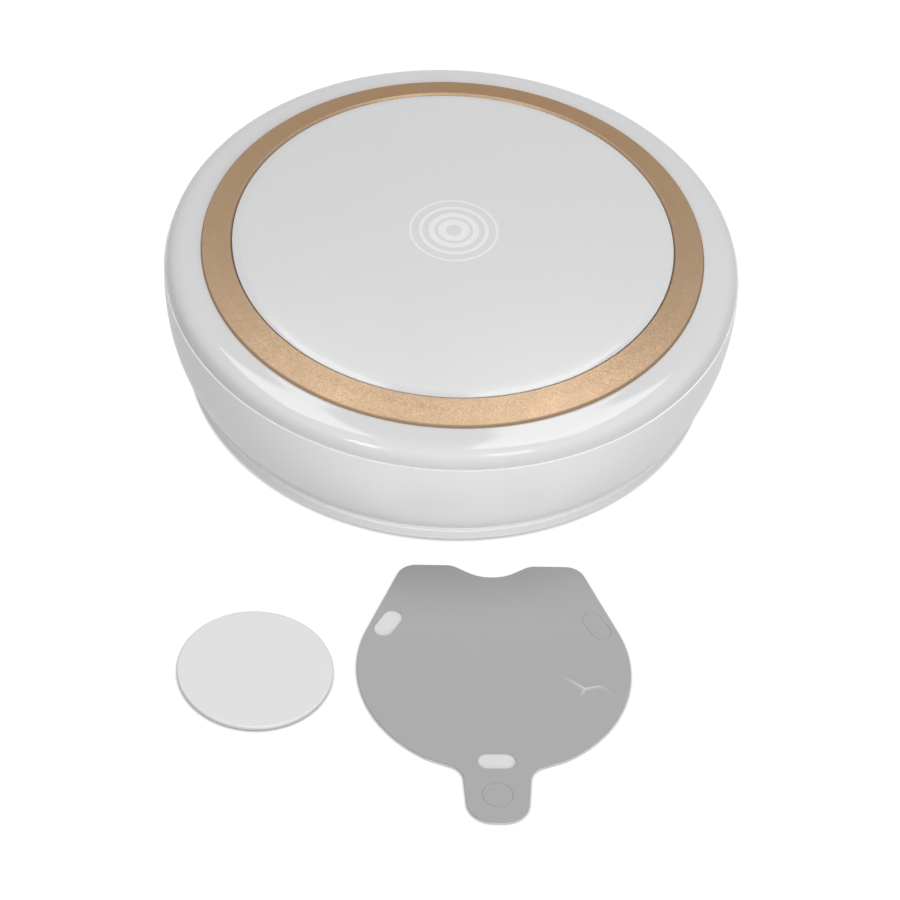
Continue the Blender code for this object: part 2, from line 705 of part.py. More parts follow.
def build_base_cover():
    """Build the base plate: rim, spigot, magnet pocket, posts, battery rails and screw holes."""
    pocket = MAGNET_RADIUS + GAP
    spigot_outer = SHELL_FOOT_INNER - GAP
    spigot_inner = spigot_outer - SPIGOT_WALL
    land = BASE_RADIUS - BASE_LAND_WIDTH
    profile = [
        (0.0, MAGNET_FLOOR),
        (pocket, MAGNET_FLOOR),
        (pocket, MAGNET_FLOOR + MAGNET_HEIGHT + GAP),
        (POCKET_OUTER, MAGNET_FLOOR + MAGNET_HEIGHT + GAP),
        (POCKET_OUTER, BASE_PLATE_TOP),
        (spigot_inner, BASE_PLATE_TOP),
        (spigot_inner, BASE_RIM_HEIGHT + SPIGOT_HEIGHT),
        (spigot_outer, BASE_RIM_HEIGHT + SPIGOT_HEIGHT),
        (spigot_outer, BASE_RIM_HEIGHT),
        (BASE_RADIUS - RIM_EDGE, BASE_RIM_HEIGHT),
        (BASE_RADIUS, BASE_RIM_HEIGHT - RIM_EDGE),
        (BASE_RADIUS, RIM_FOOT_HEIGHT),
        (BASE_RADIUS - BASE_FOOT_INSET, 0.0),
        (land, 0.0),
        (land - RECESS_STEP, BASE_RECESS_DEPTH),
        (CENTRE_PAD_RADIUS + RECESS_STEP, BASE_RECESS_DEPTH),
        (CENTRE_PAD_RADIUS, 0.0),
        (0.0, 0.0),
    ]
    part = turn_profile("base_cover", profile, "base", STEPS_LARGE)
    cut_base_screw_holes(part)
    rooted = (BASE_RECESS_DEPTH + BASE_PLATE_TOP) / 2
    for i, (x, y) in enumerate(post_places()):
        add_bored_post(part, f"post_{i + 1}", POST_RADIUS, x, y, rooted, POST_TOP)
    for i, (x, y) in enumerate(control_places()):
        add_bored_post(part, f"control_post_{i + 1}", CONTROL_POST_RADIUS, x, y, rooted, CONTROL_POST_TOP)
    for name, size, centre in battery_ribs(rooted):
        join(part, box_mesh(name, size, centre), name)
    return part


def cut_base_screw_holes(part):
    """Cut the screw holes with their counterbores, and open the spigot round each boss and rib."""
    seat = BASE_RIM_HEIGHT - BOSS_SEAT_DEPTH
    top = BASE_RIM_HEIGHT + SPIGOT_HEIGHT + CUT_OVERRUN
    for i, (angle, x, y) in enumerate(boss_places()):
        name = f"spigot_gap_{i + 1}"
        near = boss_circle() + BOSS_RADIUS / 2
        far = SHELL_FOOT_RADIUS - WALL / 2
        gap_x, gap_y = polar((near + far) / 2, angle)
        size = (far - near, 2 * (BOSS_RADIUS + GAP), top - seat)
        cut(part, box_mesh(name, size, (gap_x, gap_y, (seat + top) / 2), angle), name)
        name = f"base_hole_{i + 1}"
        cut(part, round_hole(name, SCREW_HOLE_RADIUS, x, y, -CUT_OVERRUN, top), name)
        name = f"base_counterbore_{i + 1}"
        head_top = SCREW_SINK + SCREW_HEAD_HEIGHT + GAP
        cut(part, round_hole(name, HEAD_HOLE_RADIUS, x, y, -CUT_OVERRUN, head_top), name)


def add_bored_post(part, name, radius, x, y, bottom, top):
    """Join a post to a plate and bore it for a screw, short of the plate."""
    join(part, round_hole(name, radius, x, y, bottom, top), name)
    bore = round_hole(f"{name}_bore", SCREW_HOLE_RADIUS, x, y, BASE_PLATE_TOP + WALL / 2, top + CUT_OVERRUN)
    cut(part, bore, f"{name}_bore")


def battery_ribs(bottom):
    """Return the four low ribs that keep the battery in place, as (name, size, centre)."""
    height = BASE_PLATE_TOP + RAIL_HEIGHT - bottom
    z = bottom + height / 2
    side = BATTERY_WIDTH / 2 + GAP + RAIL_WALL / 2
    end = BATTERY_LENGTH / 2 + GAP + RAIL_WALL / 2
    return [
        ("battery_rail_left", (RAIL_WALL, RAIL_LENGTH, height), (BATTERY_X - side, 0.0, z)),
        ("battery_rail_right", (RAIL_WALL, RAIL_LENGTH, height), (BATTERY_X + side, 0.0, z)),
        ("battery_stop_front", (STOP_LENGTH, RAIL_WALL, height), (BATTERY_X, -end, z)),
        ("battery_stop_rear", (STOP_LENGTH, RAIL_WALL, height), (BATTERY_X, end, z)),
    ]


def build_magnet():
    """Build the holding magnet in its pocket."""
    bottom = MAGNET_FLOOR + GAP
    profile = [
        (0.0, bottom + MAGNET_HEIGHT),
        (MAGNET_RADIUS - SMALL_BEVEL, bottom + MAGNET_HEIGHT),
        (MAGNET_RADIUS, bottom + MAGNET_HEIGHT - SMALL_BEVEL),
        (MAGNET_RADIUS, bottom),
        (0.0, bottom),
    ]
    return turn_profile("base_magnet", profile, "magnet", STEPS_MEDIUM)


# Light engine


def build_reflector_pan():
    """Build the white tray: a flat floor and a flared rim that ends under the diffuser's skirt."""
    rim_top = SKIRT_BOTTOM - GAP
    rim_outer = SKIRT_OUTER - SMALL_BEVEL
    floor_top = PAN_BOTTOM + PAN_THICKNESS
    profile = [
        (0.0, floor_top),
        (PAN_FLOOR_RADIUS, floor_top),
        (rim_outer - PAN_RIM_WIDTH, rim_top),
        (rim_outer, rim_top),
        (rim_outer, rim_top - PAN_THICKNESS),
        (PAN_FLOOR_RADIUS + PAN_THICKNESS / 2, PAN_BOTTOM),
        (0.0, PAN_BOTTOM),
    ]
    part = turn_profile("reflector_pan", profile, "reflector", STEPS_MEDIUM)
    cut_board_holes(part, "pan", PAN_BOTTOM, floor_top)
    return part


def build_led_board():
    """Build the LED board on the pan's floor."""
    profile = [(0.0, BOARD_TOP), (BOARD_RADIUS, BOARD_TOP), (BOARD_RADIUS, BOARD_BOTTOM), (0.0, BOARD_BOTTOM)]
    part = turn_profile("led_board", profile, "board", STEPS_MEDIUM)
    cut_board_holes(part, "board", BOARD_BOTTOM, BOARD_TOP)
    return part


def cut_board_holes(part, prefix, bottom, top):
    """Cut the screw holes and the hole for the leads."""
    for i, (x, y) in enumerate(post_places()):
        name = f"{prefix}_screw_hole_{i + 1}"
        cut(part, round_hole(name, SCREW_HOLE_RADIUS, x, y, bottom - CUT_OVERRUN, top + CUT_OVERRUN), name)
    name = f"{prefix}_wire_hole"
    cut(part, round_hole(name, WIRE_HOLE_RADIUS, 0.0, WIRE_HOLE_Y, bottom - CUT_OVERRUN, top + CUT_OVERRUN),
        name)


def build_leds():
    """Build the LEDs in a circle, each facing up with its long side across the radius."""
    for i, angle in enumerate(spaced_angles(LED_COUNT, math.pi / LED_COUNT)):
        x, y = polar(post_circle() - LED_INSET, angle)
        name = f"led_{i + 1:02d}"
        centre = (x, y, BOARD_TOP + GAP + LED_HEIGHT / 2)
        add_part(name, box_mesh(name, (LED_WIDTH, LED_LENGTH, LED_HEIGHT), centre, angle), "led")


def electrode_bottom():
    """Return the height of the touch electrode's underside, just under the dome's inner face."""
    return read_between(inner_dome(), ELECTRODE_RADIUS) - GAP - ELECTRODE_THICKNESS


def build_touch_electrode():
    """Build the copper disc under the dome's crown."""
    bottom = electrode_bottom()
    top = bottom + ELECTRODE_THICKNESS
    profile = [(0.0, top), (ELECTRODE_RADIUS, top), (ELECTRODE_RADIUS, bottom), (0.0, bottom)]
    return turn_profile("touch_electrode", profile, "copper", STEPS_SMALL)


def tube(name, points, radius, material, resolution=1):
    """Build a round wire along a list of points."""
    curve = bpy.data.curves.new(name, "CURVE")
    curve.dimensions = "3D"
    curve.bevel_depth = radius
    curve.bevel_resolution = resolution
    curve.use_fill_caps = True
    spline = curve.splines.new("POLY")
    spline.points.add(len(points) - 1)
    for point, place in zip(spline.points, points):
        point.co = (*place, 1.0)
    return add_part(name, curve, material)


def build_touch_spring():
    """Build the spring that joins the LED board to the electrode, its end turns lying close."""
    bottom = BOARD_TOP + GAP + SPRING_WIRE_RADIUS
    top = electrode_bottom() - GAP - SPRING_WIRE_RADIUS
    close_pitch = 2 * SPRING_WIRE_RADIUS + GAP
    open_pitch = (top - bottom - 2 * close_pitch) / (SPRING_TURNS - 2)
    points = []
    height = bottom
    for i in range(SPRING_TURNS * SPRING_TURN_POINTS + 1):
        angle = 2 * math.pi * i / SPRING_TURN_POINTS
        points.append((*polar(SPRING_RADIUS, angle), height))
        turn = i // SPRING_TURN_POINTS
        closed = turn in (0, SPRING_TURNS - 1)
        height += (close_pitch if closed else open_pitch) / SPRING_TURN_POINTS
    return tube("touch_spring", points, SPRING_WIRE_RADIUS, "spring")


# Battery


def battery_bottom():
    """Return the height of the battery's underside, on its pad."""
    return BASE_PLATE_TOP + GAP + PAD_THICKNESS + GAP


def build_battery():
    """Build the flat cell and the foam pad under it."""
    size = (BATTERY_WIDTH, BATTERY_LENGTH, BATTERY_HEIGHT)
    centre = (BATTERY_X, 0.0, battery_bottom() + BATTERY_HEIGHT / 2)
    cell = add_part("battery_cell", box_mesh("battery_cell", size, centre), "cell")
    bevel_edges(cell, BATTERY_EDGE, 2)
    pad_size = (BATTERY_WIDTH - 2 * PAD_INSET, BATTERY_LENGTH - 2 * PAD_INSET, PAD_THICKNESS)
    pad_centre = (BATTERY_X, 0.0, BASE_PLATE_TOP + GAP + PAD_THICKNESS / 2)
    add_part("battery_pad", box_mesh("battery_pad", pad_size, pad_centre), "foam")


# Control board


def build_control_board():
    """Build the control board with its screw holes."""
    rear = control_rear()
    size = (CONTROL_WIDTH, CONTROL_LENGTH, CONTROL_THICKNESS)
    centre = (0.0, rear - CONTROL_LENGTH / 2, CONTROL_BOTTOM + CONTROL_THICKNESS / 2)
    part = add_part("control_board", box_mesh("control_board", size, centre), "green")
    for i, (x, y) in enumerate(control_places()):
        name = f"control_hole_{i + 1}"
        cut(part, round_hole(name, SCREW_HOLE_RADIUS, x, y, CONTROL_BOTTOM - CUT_OVERRUN,
                             CONTROL_TOP + CUT_OVERRUN), name)
    chip_size = (CHIP_SIZE, CHIP_SIZE, CHIP_HEIGHT)
    chip_centre = (0.0, rear - CHIP_INSET, CONTROL_TOP + GAP + CHIP_HEIGHT / 2)
    chip = add_part("control_chip", box_mesh("control_chip", chip_size, chip_centre), "chip")
    bevel_edges(chip, SMALL_BEVEL)


def build_charge_socket():
    """Build the charging socket: a folded metal shell round a flat tongue."""
    face = socket_face_y()
    back = face - SOCKET_LENGTH
    shell = slot_mesh("charge_socket", SOCKET_WIDTH, SOCKET_HEIGHT, back, face, SOCKET_X, PORT_HEIGHT)
    part = add_part("charge_socket", shell, "steel")
    sheet = 2 * SOCKET_SHEET
    floor = back + sheet
    mouth = slot_mesh("socket_mouth", SOCKET_WIDTH - sheet, SOCKET_HEIGHT - sheet, floor, face + CUT_OVERRUN,
                      SOCKET_X, PORT_HEIGHT)
    cut(part, mouth, "socket_mouth")
    tongue_width = SOCKET_WIDTH - sheet - 2 * TONGUE_SIDE_CLEARANCE
    tongue_size = (tongue_width, TONGUE_LENGTH + SOCKET_SHEET, TONGUE_THICKNESS)
    tongue_y = floor - SOCKET_SHEET + tongue_size[1] / 2
    tongue = box_mesh("socket_tongue", tongue_size, (SOCKET_X, tongue_y, PORT_HEIGHT))
    join(part, tongue, "socket_tongue")
    return part


def switch_front():
    """Return where the switch body's front face lies, inside the rear wall."""
    return wall_y(SWITCH_X + SWITCH_BODY_WIDTH / 2, PORT_HEIGHT) - WALL - SWITCH_BODY_INSET


def build_switch():
    """Build the slide switch: its metal body and the knob that slides along X in the wall's window."""
    front = switch_front()
    body_size = (SWITCH_BODY_WIDTH, SWITCH_BODY_DEPTH, SOCKET_HEIGHT)
    body_centre = (SWITCH_X, front - SWITCH_BODY_DEPTH / 2, PORT_HEIGHT)
    body = add_part("switch_body", box_mesh("switch_body", body_size, body_centre), "steel")
    slot_depth = STEM_REACH + GAP
    slot_size = (STEM_WIDTH + SWITCH_TRAVEL + 2 * GAP, slot_depth + CUT_OVERRUN, SWITCH_SLOT_HEIGHT)
    slot_centre = (SWITCH_X, front - slot_depth + slot_size[1] / 2, PORT_HEIGHT)
    cut(body, box_mesh("switch_slot", slot_size, slot_centre), "switch_slot")
    knob_x = SWITCH_X - SWITCH_TRAVEL / 2
    knob_back = front + GAP
    knob_end = wall_y(SWITCH_X, PORT_HEIGHT) + KNOB_STAND_OUT
    knob_size = (KNOB_WIDTH, knob_end - knob_back, KNOB_HEIGHT)
    knob_centre = (0.0, (knob_back + knob_end) / 2, 0.0)
    slider = add_part("switch_slider", box_mesh("switch_slider", knob_size, knob_centre), "knob")
    slider.location = (knob_x, 0.0, PORT_HEIGHT)
    stem_size = (STEM_WIDTH, STEM_REACH + 2 * GAP, STEM_HEIGHT)
    stem = box_mesh("switch_stem", stem_size, (knob_x, front - STEM_REACH + stem_size[1] / 2, PORT_HEIGHT))
    join(slider, stem, "switch_stem")
    pitch = KNOB_WIDTH / KNOB_RIB_COUNT
    for i in range(KNOB_RIB_COUNT):
        rib_x = knob_x + pitch * (i - (KNOB_RIB_COUNT - 1) / 2)
        rib_size = (KNOB_RIB_WIDTH, 2 * KNOB_RIB_HEIGHT, KNOB_HEIGHT - 2 * KNOB_RIB_HEIGHT)
        name = f"knob_rib_{i + 1}"
        join(slider, box_mesh(name, rib_size, (rib_x, knob_end, PORT_HEIGHT)), name)


def build_indicator():
    """Build the charging light and the light pipe that carries it through the rear wall."""
    rear = control_rear()
    size = (INDICATOR_WIDTH, INDICATOR_LENGTH, INDICATOR_HEIGHT)
    centre = (LENS_X, rear - INDICATOR_LENGTH / 2, CONTROL_TOP + GAP + INDICATOR_HEIGHT / 2)
    add_part("indicator_led", box_mesh("indicator_led", size, centre), "led")
    width = 2 * LENS_RADIUS
    inner = rear + GAP
    outer = wall_y(LENS_X, PORT_HEIGHT) - SMALL_BEVEL
    lens = slot_mesh("indicator_lens", width, width, inner, outer, LENS_X, PORT_HEIGHT)
    add_part("indicator_lens", lens, "lens")


# Fasteners


def build_screw(name, x, y, seat, length, upward):
    """Build a pan-head screw with a cross recess.

    Args run: place, height of the face that the head bears on, shank length, and whether the shank
    points up from the head (a base screw) or down.
    """
    way = 1.0 if upward else -1.0
    head_in = seat - way * GAP
    head_out = head_in - way * SCREW_HEAD_HEIGHT
    tip = seat + way * length
    points = [
        (0.0, tip),
        (SCREW_SHANK_RADIUS, tip - way * SCREW_SHANK_RADIUS),
        (SCREW_SHANK_RADIUS, head_in),
        (SCREW_HEAD_RADIUS, head_in),
        (SCREW_HEAD_RADIUS, head_out + way * SCREW_HEAD_HEIGHT / 2),
        (SCREW_HEAD_RADIUS - SCREW_HEAD_HEIGHT / 4, head_out),
        (0.0, head_out),
    ]
    if not upward:
        points = points[::-1]
    part = turn_profile(name, points, "steel", STEPS_FINE, (x, y))
    reach = 2 * SCREW_DRIVE_DEPTH
    for i in (0, 1):
        arm = (2 * SCREW_DRIVE_RADIUS, SCREW_DRIVE_DEPTH, reach)
        tool = box_mesh(f"{name}_drive_{i + 1}", arm, (x, y, head_out), i * math.pi / 2)
        cut(part, tool, f"{name}_drive_{i + 1}")
    return part


def build_screws():
    """Build the base screws, the LED board's screws and the control board's screws."""
    for i, (_, x, y) in enumerate(boss_places()):
        seat = SCREW_SINK + SCREW_HEAD_HEIGHT + GAP
        build_screw(f"base_screw_{i + 1}", x, y, seat, BASE_SCREW_LENGTH, True)
    for i, (x, y) in enumerate(post_places()):
        build_screw(f"board_screw_{i + 1}", x, y, BOARD_TOP, BOARD_SCREW_LENGTH, False)
    for i, (x, y) in enumerate(control_places()):
        build_screw(f"control_screw_{i + 1}", x, y, CONTROL_TOP, CONTROL_SCREW_LENGTH, False)


# Leads


def smooth_route(corners, count=LEAD_POINTS):
    """Return points along a smooth curve through the corners of a lead's route."""
    ends = [corners[0]] + [Vector(c) for c in corners] + [corners[-1]]
    ends = [Vector(c) for c in ends]
    spans = len(corners) - 1
    points = []
    for i in range(count):
        place = spans * i / (count - 1)
        k = min(int(place), spans - 1)
        t = place - k
        before, start, end, after = ends[k:k + 4]
        points.append(0.5 * (2 * start + (end - before) * t
                             + (2 * before - 5 * start + 4 * end - after) * t ** 2
                             + (3 * start - 3 * end - before + after) * t ** 3))
    return points


def build_leads():
    """Build the two leads from the battery and the two that go up to the LED board."""
    pad_y = control_rear() - CONTROL_LENGTH + LEAD_PAD_INSET
    pad_z = CONTROL_TOP + GAP
    cell_end = BATTERY_LENGTH / 2 + GAP
    cell_z = battery_bottom() + BATTERY_HEIGHT / 2
    cell_x = BATTERY_X + BATTERY_WIDTH / 2 - BATTERY_LEAD_X_INSET
    for name, material, side in (("battery_lead_red", "red", 0), ("battery_lead_black", "black", 1)):
        x = cell_x - side * LEAD_PITCH
        pad_x = -LEAD_PAD_X - side * LEAD_PITCH
        middle_y = (cell_end + pad_y) / 2
        corners = [
            (x, cell_end, cell_z),
            (x, cell_end + LEAD_EXIT, cell_z),
            ((x + pad_x) / 2, middle_y, CONTROL_TOP),
            (pad_x, pad_y, pad_z + LEAD_ARCH),
            (pad_x, pad_y, pad_z),
        ]
        tube(name, smooth_route(corners), LEAD_RADIUS, material)
    for name, material, side in (("led_lead_red", "red", -1), ("led_lead_black", "black", 1)):
        pad_x = LEAD_PAD_X + side * LEAD_PITCH / 2
        hole_x = side * LEAD_PITCH / 2
        above = BOARD_TOP + GAP
        corners = [
            (pad_x, pad_y, pad_z),
            (pad_x, pad_y, pad_z + LEAD_ARCH),
            ((pad_x + hole_x) / 2, (pad_y + WIRE_HOLE_Y) / 2, pad_z + LEAD_ARCH),
            (hole_x, WIRE_HOLE_Y, PAN_BOTTOM),
            (hole_x, WIRE_HOLE_Y, above + LEAD_ARCH / 2),
            (hole_x, WIRE_HOLE_Y - WIRE_HOLE_RADIUS - LEAD_ARCH, above + LEAD_ARCH / 2),
            (hole_x, WIRE_HOLE_Y - WIRE_HOLE_RADIUS - LEAD_ARCH, above),
        ]
        tube(name, smooth_route(corners, LEAD_POINTS + LEAD_POINTS // 2), LEAD_RADIUS, material)


# Mounting disc


def build_mounting_disc():
    """Build the painted iron disc and the adhesive pad under it."""
    top = DISC_BOTTOM + DISC_THICKNESS
    profile = [
        (0.0, top),
        (DISC_RADIUS - DISC_EDGE, top),
        (DISC_RADIUS, top - DISC_EDGE),
        (DISC_RADIUS, DISC_BOTTOM + DISC_EDGE),
        (DISC_RADIUS - DISC_EDGE, DISC_BOTTOM),
        (0.0, DISC_BOTTOM),
    ]
    turn_profile("mounting_disc", profile, "disc", STEPS_MEDIUM, (DISC_X, DISC_Y))
    pad_radius = DISC_RADIUS - DISC_PAD_INSET
    pad = [(0.0, DISC_PAD_THICKNESS), (pad_radius, DISC_PAD_THICKNESS), (pad_radius, 0.0), (0.0, 0.0)]
    turn_profile("disc_adhesive", pad, "foam", STEPS_MEDIUM, (DISC_X, DISC_Y))


# Adhesive sheet


def arc_count(radius, sweep):
    """Return how many straight steps keep an arc within the outline's tolerance."""
    step = 2 * math.acos(1 - OUTLINE_TOLERANCE / radius)
    return max(2, math.ceil(abs(sweep) / step))


def corner_arc(before, corner, after, radius):
    """Return the points of a rounded corner between two straight runs."""
    corner = Vector(corner)
    first = (Vector(before) - corner).normalized()
    second = (Vector(after) - corner).normalized()
    half = first.angle(second) / 2
    centre = corner + (first + second).normalized() * (radius / math.sin(half))
    start = corner + first * (radius / math.tan(half)) - centre
    end = corner + second * (radius / math.tan(half)) - centre
    sweep = start.angle(end)
    if start.x * end.y - start.y * end.x < 0:
        sweep = -sweep
    count = arc_count(radius, sweep)
    return [centre + Matrix.Rotation(sweep * i / count, 2) @ start for i in range(count + 1)]


def round_arc(centre, radius, start, end):
    """Return the points of an arc between two angles."""
    count = arc_count(radius, end - start)
    return [Vector((centre[0] + radius * math.cos(start + (end - start) * i / count),
                    centre[1] + radius * math.sin(start + (end - start) * i / count)))
            for i in range(count + 1)]


def sheet_half_outline():
    """Return the right half of the sheet's outline, from the notch round to the tab's tip."""
    lean = SHEET_FLANK_LEAN
    corner_x = (SHEET_RADIUS - SHEET_TOP_Y * math.sin(lean)) / math.cos(lean)
    tangent = Vector((SHEET_RADIUS * math.cos(lean), SHEET_RADIUS * math.sin(lean)))
    notch_floor = Vector((0.0, SHEET_TOP_Y - NOTCH_DEPTH))
    notch_lip = Vector((NOTCH_HALF_WIDTH, SHEET_TOP_Y))
    notch_corner = Vector((NOTCH_HALF_WIDTH / 2, notch_floor.y))
    top_corner = Vector((corner_x, SHEET_TOP_Y))
    root_y = -math.sqrt(SHEET_RADIUS ** 2 - TAB_ROOT_HALF_WIDTH ** 2)
    root = Vector((TAB_ROOT_HALF_WIDTH, root_y))
    tip_corner = Vector((TAB_TIP_HALF_WIDTH, TAB_TIP_Y))
    tip = Vector((0.0, TAB_TIP_Y))
    fillet_turn = math.asin(TAB_ROOT_HALF_WIDTH / SHEET_RADIUS) + 2 * TAB_FILLET_RADIUS / SHEET_RADIUS
    leave = Vector((SHEET_RADIUS * math.sin(fillet_turn), -SHEET_RADIUS * math.cos(fillet_turn)))
    points = [notch_floor]
    points += corner_arc(notch_floor, notch_corner, notch_lip, NOTCH_CORNER_RADIUS)
    points += corner_arc(notch_corner, notch_lip, top_corner, NOTCH_CORNER_RADIUS)
    points += corner_arc(notch_lip, top_corner, tangent, SHEET_CORNER_RADIUS)
    points += round_arc((0.0, 0.0), SHEET_RADIUS, lean, fillet_turn - math.pi / 2)
    points += corner_arc(leave, root, tip_corner, TAB_FILLET_RADIUS)
    points += corner_arc(root, tip_corner, tip, TAB_TIP_RADIUS)
    points.append(tip)
    return points


def sheet_outline():
    """Return the sheet's closed outline about its own centre."""
    right = sheet_half_outline()
    left = [Vector((-point.x, point.y)) for point in right[-2:0:-1]]
    return right + left


def slot_outline(angle, inset=0.0):
    """Return a slot that lies across the radius at an angle."""
    radius = SLOT_WIDTH / 2 - inset
    reach = (SLOT_LENGTH - SLOT_WIDTH) / 2
    points = round_arc((0.0, reach), radius, 0.0, math.pi)
    points += round_arc((0.0, -reach), radius, math.pi, 2 * math.pi)
    turned = Matrix.Rotation(angle, 2)
    centre = Vector(polar(SLOT_CIRCLE, angle))
    return [centre + turned @ point for point in points]


def film(name, outlines, bottom, thickness, material):
    """Build a flat film from its outer outline and its holes, set where the sheet lies."""
    curve = bpy.data.curves.new(name, "CURVE")
    curve.dimensions = "2D"
    curve.fill_mode = "BOTH"
    curve.extrude = thickness / 2
    for outline in outlines:
        spline = curve.splines.new("POLY")
        spline.points.add(len(outline) - 1)
        for point, place in zip(spline.points, outline):
            point.co = (place.x, place.y, 0.0, 1.0)
        spline.use_cyclic_u = True
    part = add_part(name, curve, material)
    part.location = (SHEET_X, SHEET_Y, bottom + thickness / 2)
    part.rotation_euler = (0.0, 0.0, SHEET_TURN)
    return part


def build_adhesive_sheet():
    """Build the grey die-cut sheet on its liner, with the two slugs that are still in place."""
    right_slot, left_slot, tab_slot = math.radians(30), math.radians(150), math.radians(270)
    tab_hole = round_arc((0.0, TAB_HOLE_Y), TAB_HOLE_RADIUS, 0.0, 2 * math.pi)[:-1]
    tab_slug = round_arc((0.0, TAB_HOLE_Y), TAB_HOLE_RADIUS - SLUG_GAP, 0.0, 2 * math.pi)[:-1]
    film("sheet_liner", [sheet_outline()], 0.0, LINER_THICKNESS, "liner")
    holes = [slot_outline(angle) for angle in (right_slot, left_slot, tab_slot)] + [tab_hole]
    film("adhesive_sheet", [sheet_outline()] + holes, SHEET_BOTTOM, SHEET_THICKNESS, "sheet")
    film("slot_slug", [slot_outline(right_slot, SLUG_GAP)], SHEET_BOTTOM, SHEET_THICKNESS, "sheet")
    film("tab_slug", [tab_slug], SHEET_BOTTOM, SHEET_THICKNESS, "sheet")


def main():
    """Build the lamp, then the disc and the sheet."""
    build_base_cover()
    build_magnet()
    build_lower_shell()
    build_top_diffuser()
    build_trim_ring()
    build_reflector_pan()
    build_led_board()
    build_leds()
    build_touch_electrode()
    build_touch_spring()
    build_battery()
    build_control_board()
    build_charge_socket()
    build_switch()
    build_indicator()
    build_screws()
    build_leads()
    build_mounting_disc()
    build_adhesive_sheet()


main()
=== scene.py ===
"""Looks of a round touch night light, with its iron mounting disc and its adhesive sheet.

The lamp stands with its axis on Z, its charging socket towards +Y, and the disc and the sheet lie in
front of it, towards -Y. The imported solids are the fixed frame: each piece that shows gets a finer mesh
which takes its node's place, and every other node gets a finish of its own. Sizes and places are in
millimetres in the classes, and become metres where a mesh is made.
"""

import logging
import math
from collections.abc import Callable, Sequence
from dataclasses import dataclass, field
from enum import Enum

import bmesh
import bpy
from mathutils import Matrix, Vector


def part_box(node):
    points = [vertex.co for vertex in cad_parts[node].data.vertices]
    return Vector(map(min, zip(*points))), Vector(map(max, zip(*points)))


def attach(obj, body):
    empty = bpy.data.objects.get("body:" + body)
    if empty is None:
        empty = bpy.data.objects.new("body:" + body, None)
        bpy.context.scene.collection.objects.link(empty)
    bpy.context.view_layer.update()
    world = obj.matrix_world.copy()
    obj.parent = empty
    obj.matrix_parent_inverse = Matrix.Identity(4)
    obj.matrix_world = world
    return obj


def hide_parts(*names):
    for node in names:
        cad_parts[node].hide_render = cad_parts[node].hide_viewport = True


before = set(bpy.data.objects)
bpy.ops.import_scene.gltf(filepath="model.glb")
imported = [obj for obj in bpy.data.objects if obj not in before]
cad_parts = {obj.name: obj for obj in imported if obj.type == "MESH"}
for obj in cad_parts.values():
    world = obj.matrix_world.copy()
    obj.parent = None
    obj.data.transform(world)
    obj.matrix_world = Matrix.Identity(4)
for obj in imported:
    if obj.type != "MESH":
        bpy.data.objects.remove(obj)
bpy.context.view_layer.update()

# A millimetre in metres, and the distances, the angle and the counts that the mesh functions go by.
MM = 0.001
MERGE_MM = 0.0002
SHARP_ANGLE = math.radians(32)
SUPPORT_MM = 0.06
LONG_RUN_MM = 20 * SUPPORT_MM
FINE_STEPS = 192
EDGE_SEGMENTS = 4
ROUND_PROFILE = 0.5

# Most of a straight run that one rounded corner may use up: shared with a rounded neighbour, or alone.
SHARED_RUN = 0.48
OWN_RUN = 0.96

# Finer octaves of each random pattern, and the range that most of a cloud's values lie in.
CLOUD_DETAIL = 3.0
RIPPLE_DETAIL = 1.0
GRAIN_DETAIL = 2.0
CLOUD_RANGE = (0.3, 0.7)

LOG = logging.getLogger("night_light_looks")

Point = tuple[float, float]
Corner = tuple[float, float, float]
Depth = Callable[[float, float], float]


class Join(Enum):
    """How a tool works on a piece."""

    CUT = "DIFFERENCE"
    ADD = "UNION"


class Relief(Enum):
    """Fine relief of a skin, by how its random grain is scaled along X, Y and Z."""

    # Soft grain that is alike every way, as a moulded or sprayed skin has.
    GRAIN = (1.0, 1.0, 1.0)
    # Fine lines along Y, as drawn or rolled metal has.
    DRAWN = (1.0, 0.04, 1.0)


# Colours and nodes


def linear(colour: str) -> tuple[float, float, float, float]:
    """Turn an sRGB hex colour to linear light.

    Args:
        colour: the colour as "#rrggbb".

    Returns:
        Red, green, blue and an alpha of one.
    """
    channels = [int(colour[i:i + 2], 16) / 255 for i in (1, 3, 5)]
    red, green, blue = [c / 12.92 if c <= 0.04045 else ((c + 0.055) / 1.055) ** 2.4 for c in channels]
    return red, green, blue, 1.0


def per_metre(width_mm: float) -> float:
    """Return the scale of a pattern whose blobs or cells are so many millimetres wide."""
    return 1 / (width_mm * MM)


def add_node(tree: bpy.types.NodeTree, kind: str, settings: dict | None = None,
             inputs: dict | None = None) -> bpy.types.Node:
    """Add a shader node with its settings and links.

    Args:
        tree: the tree that it goes into.
        kind: the node's Blender type.
        settings: properties by name.
        inputs: sockets by name or number, each with a value or with the output that it is linked to.

    Returns:
        The new node.
    """
    node = tree.nodes.new(kind)
    for name, value in (settings or {}).items():
        setattr(node, name, value)
    for name, value in (inputs or {}).items():
        if isinstance(value, bpy.types.NodeSocket):
            tree.links.new(value, node.inputs[name])
        else:
            node.inputs[name].default_value = value
    return node


# Finishes


@dataclass(frozen=True)
class Ground:
    """What a finish paints its patterns on.

    Attributes:
        tree: the material's tree.
        place: the point in the piece's own space, in metres.
        cloud: a slow random pattern from 0 to 1, in which colour and gloss drift.
    """

    tree: bpy.types.NodeTree
    place: bpy.types.NodeSocket
    cloud: bpy.types.NodeSocket


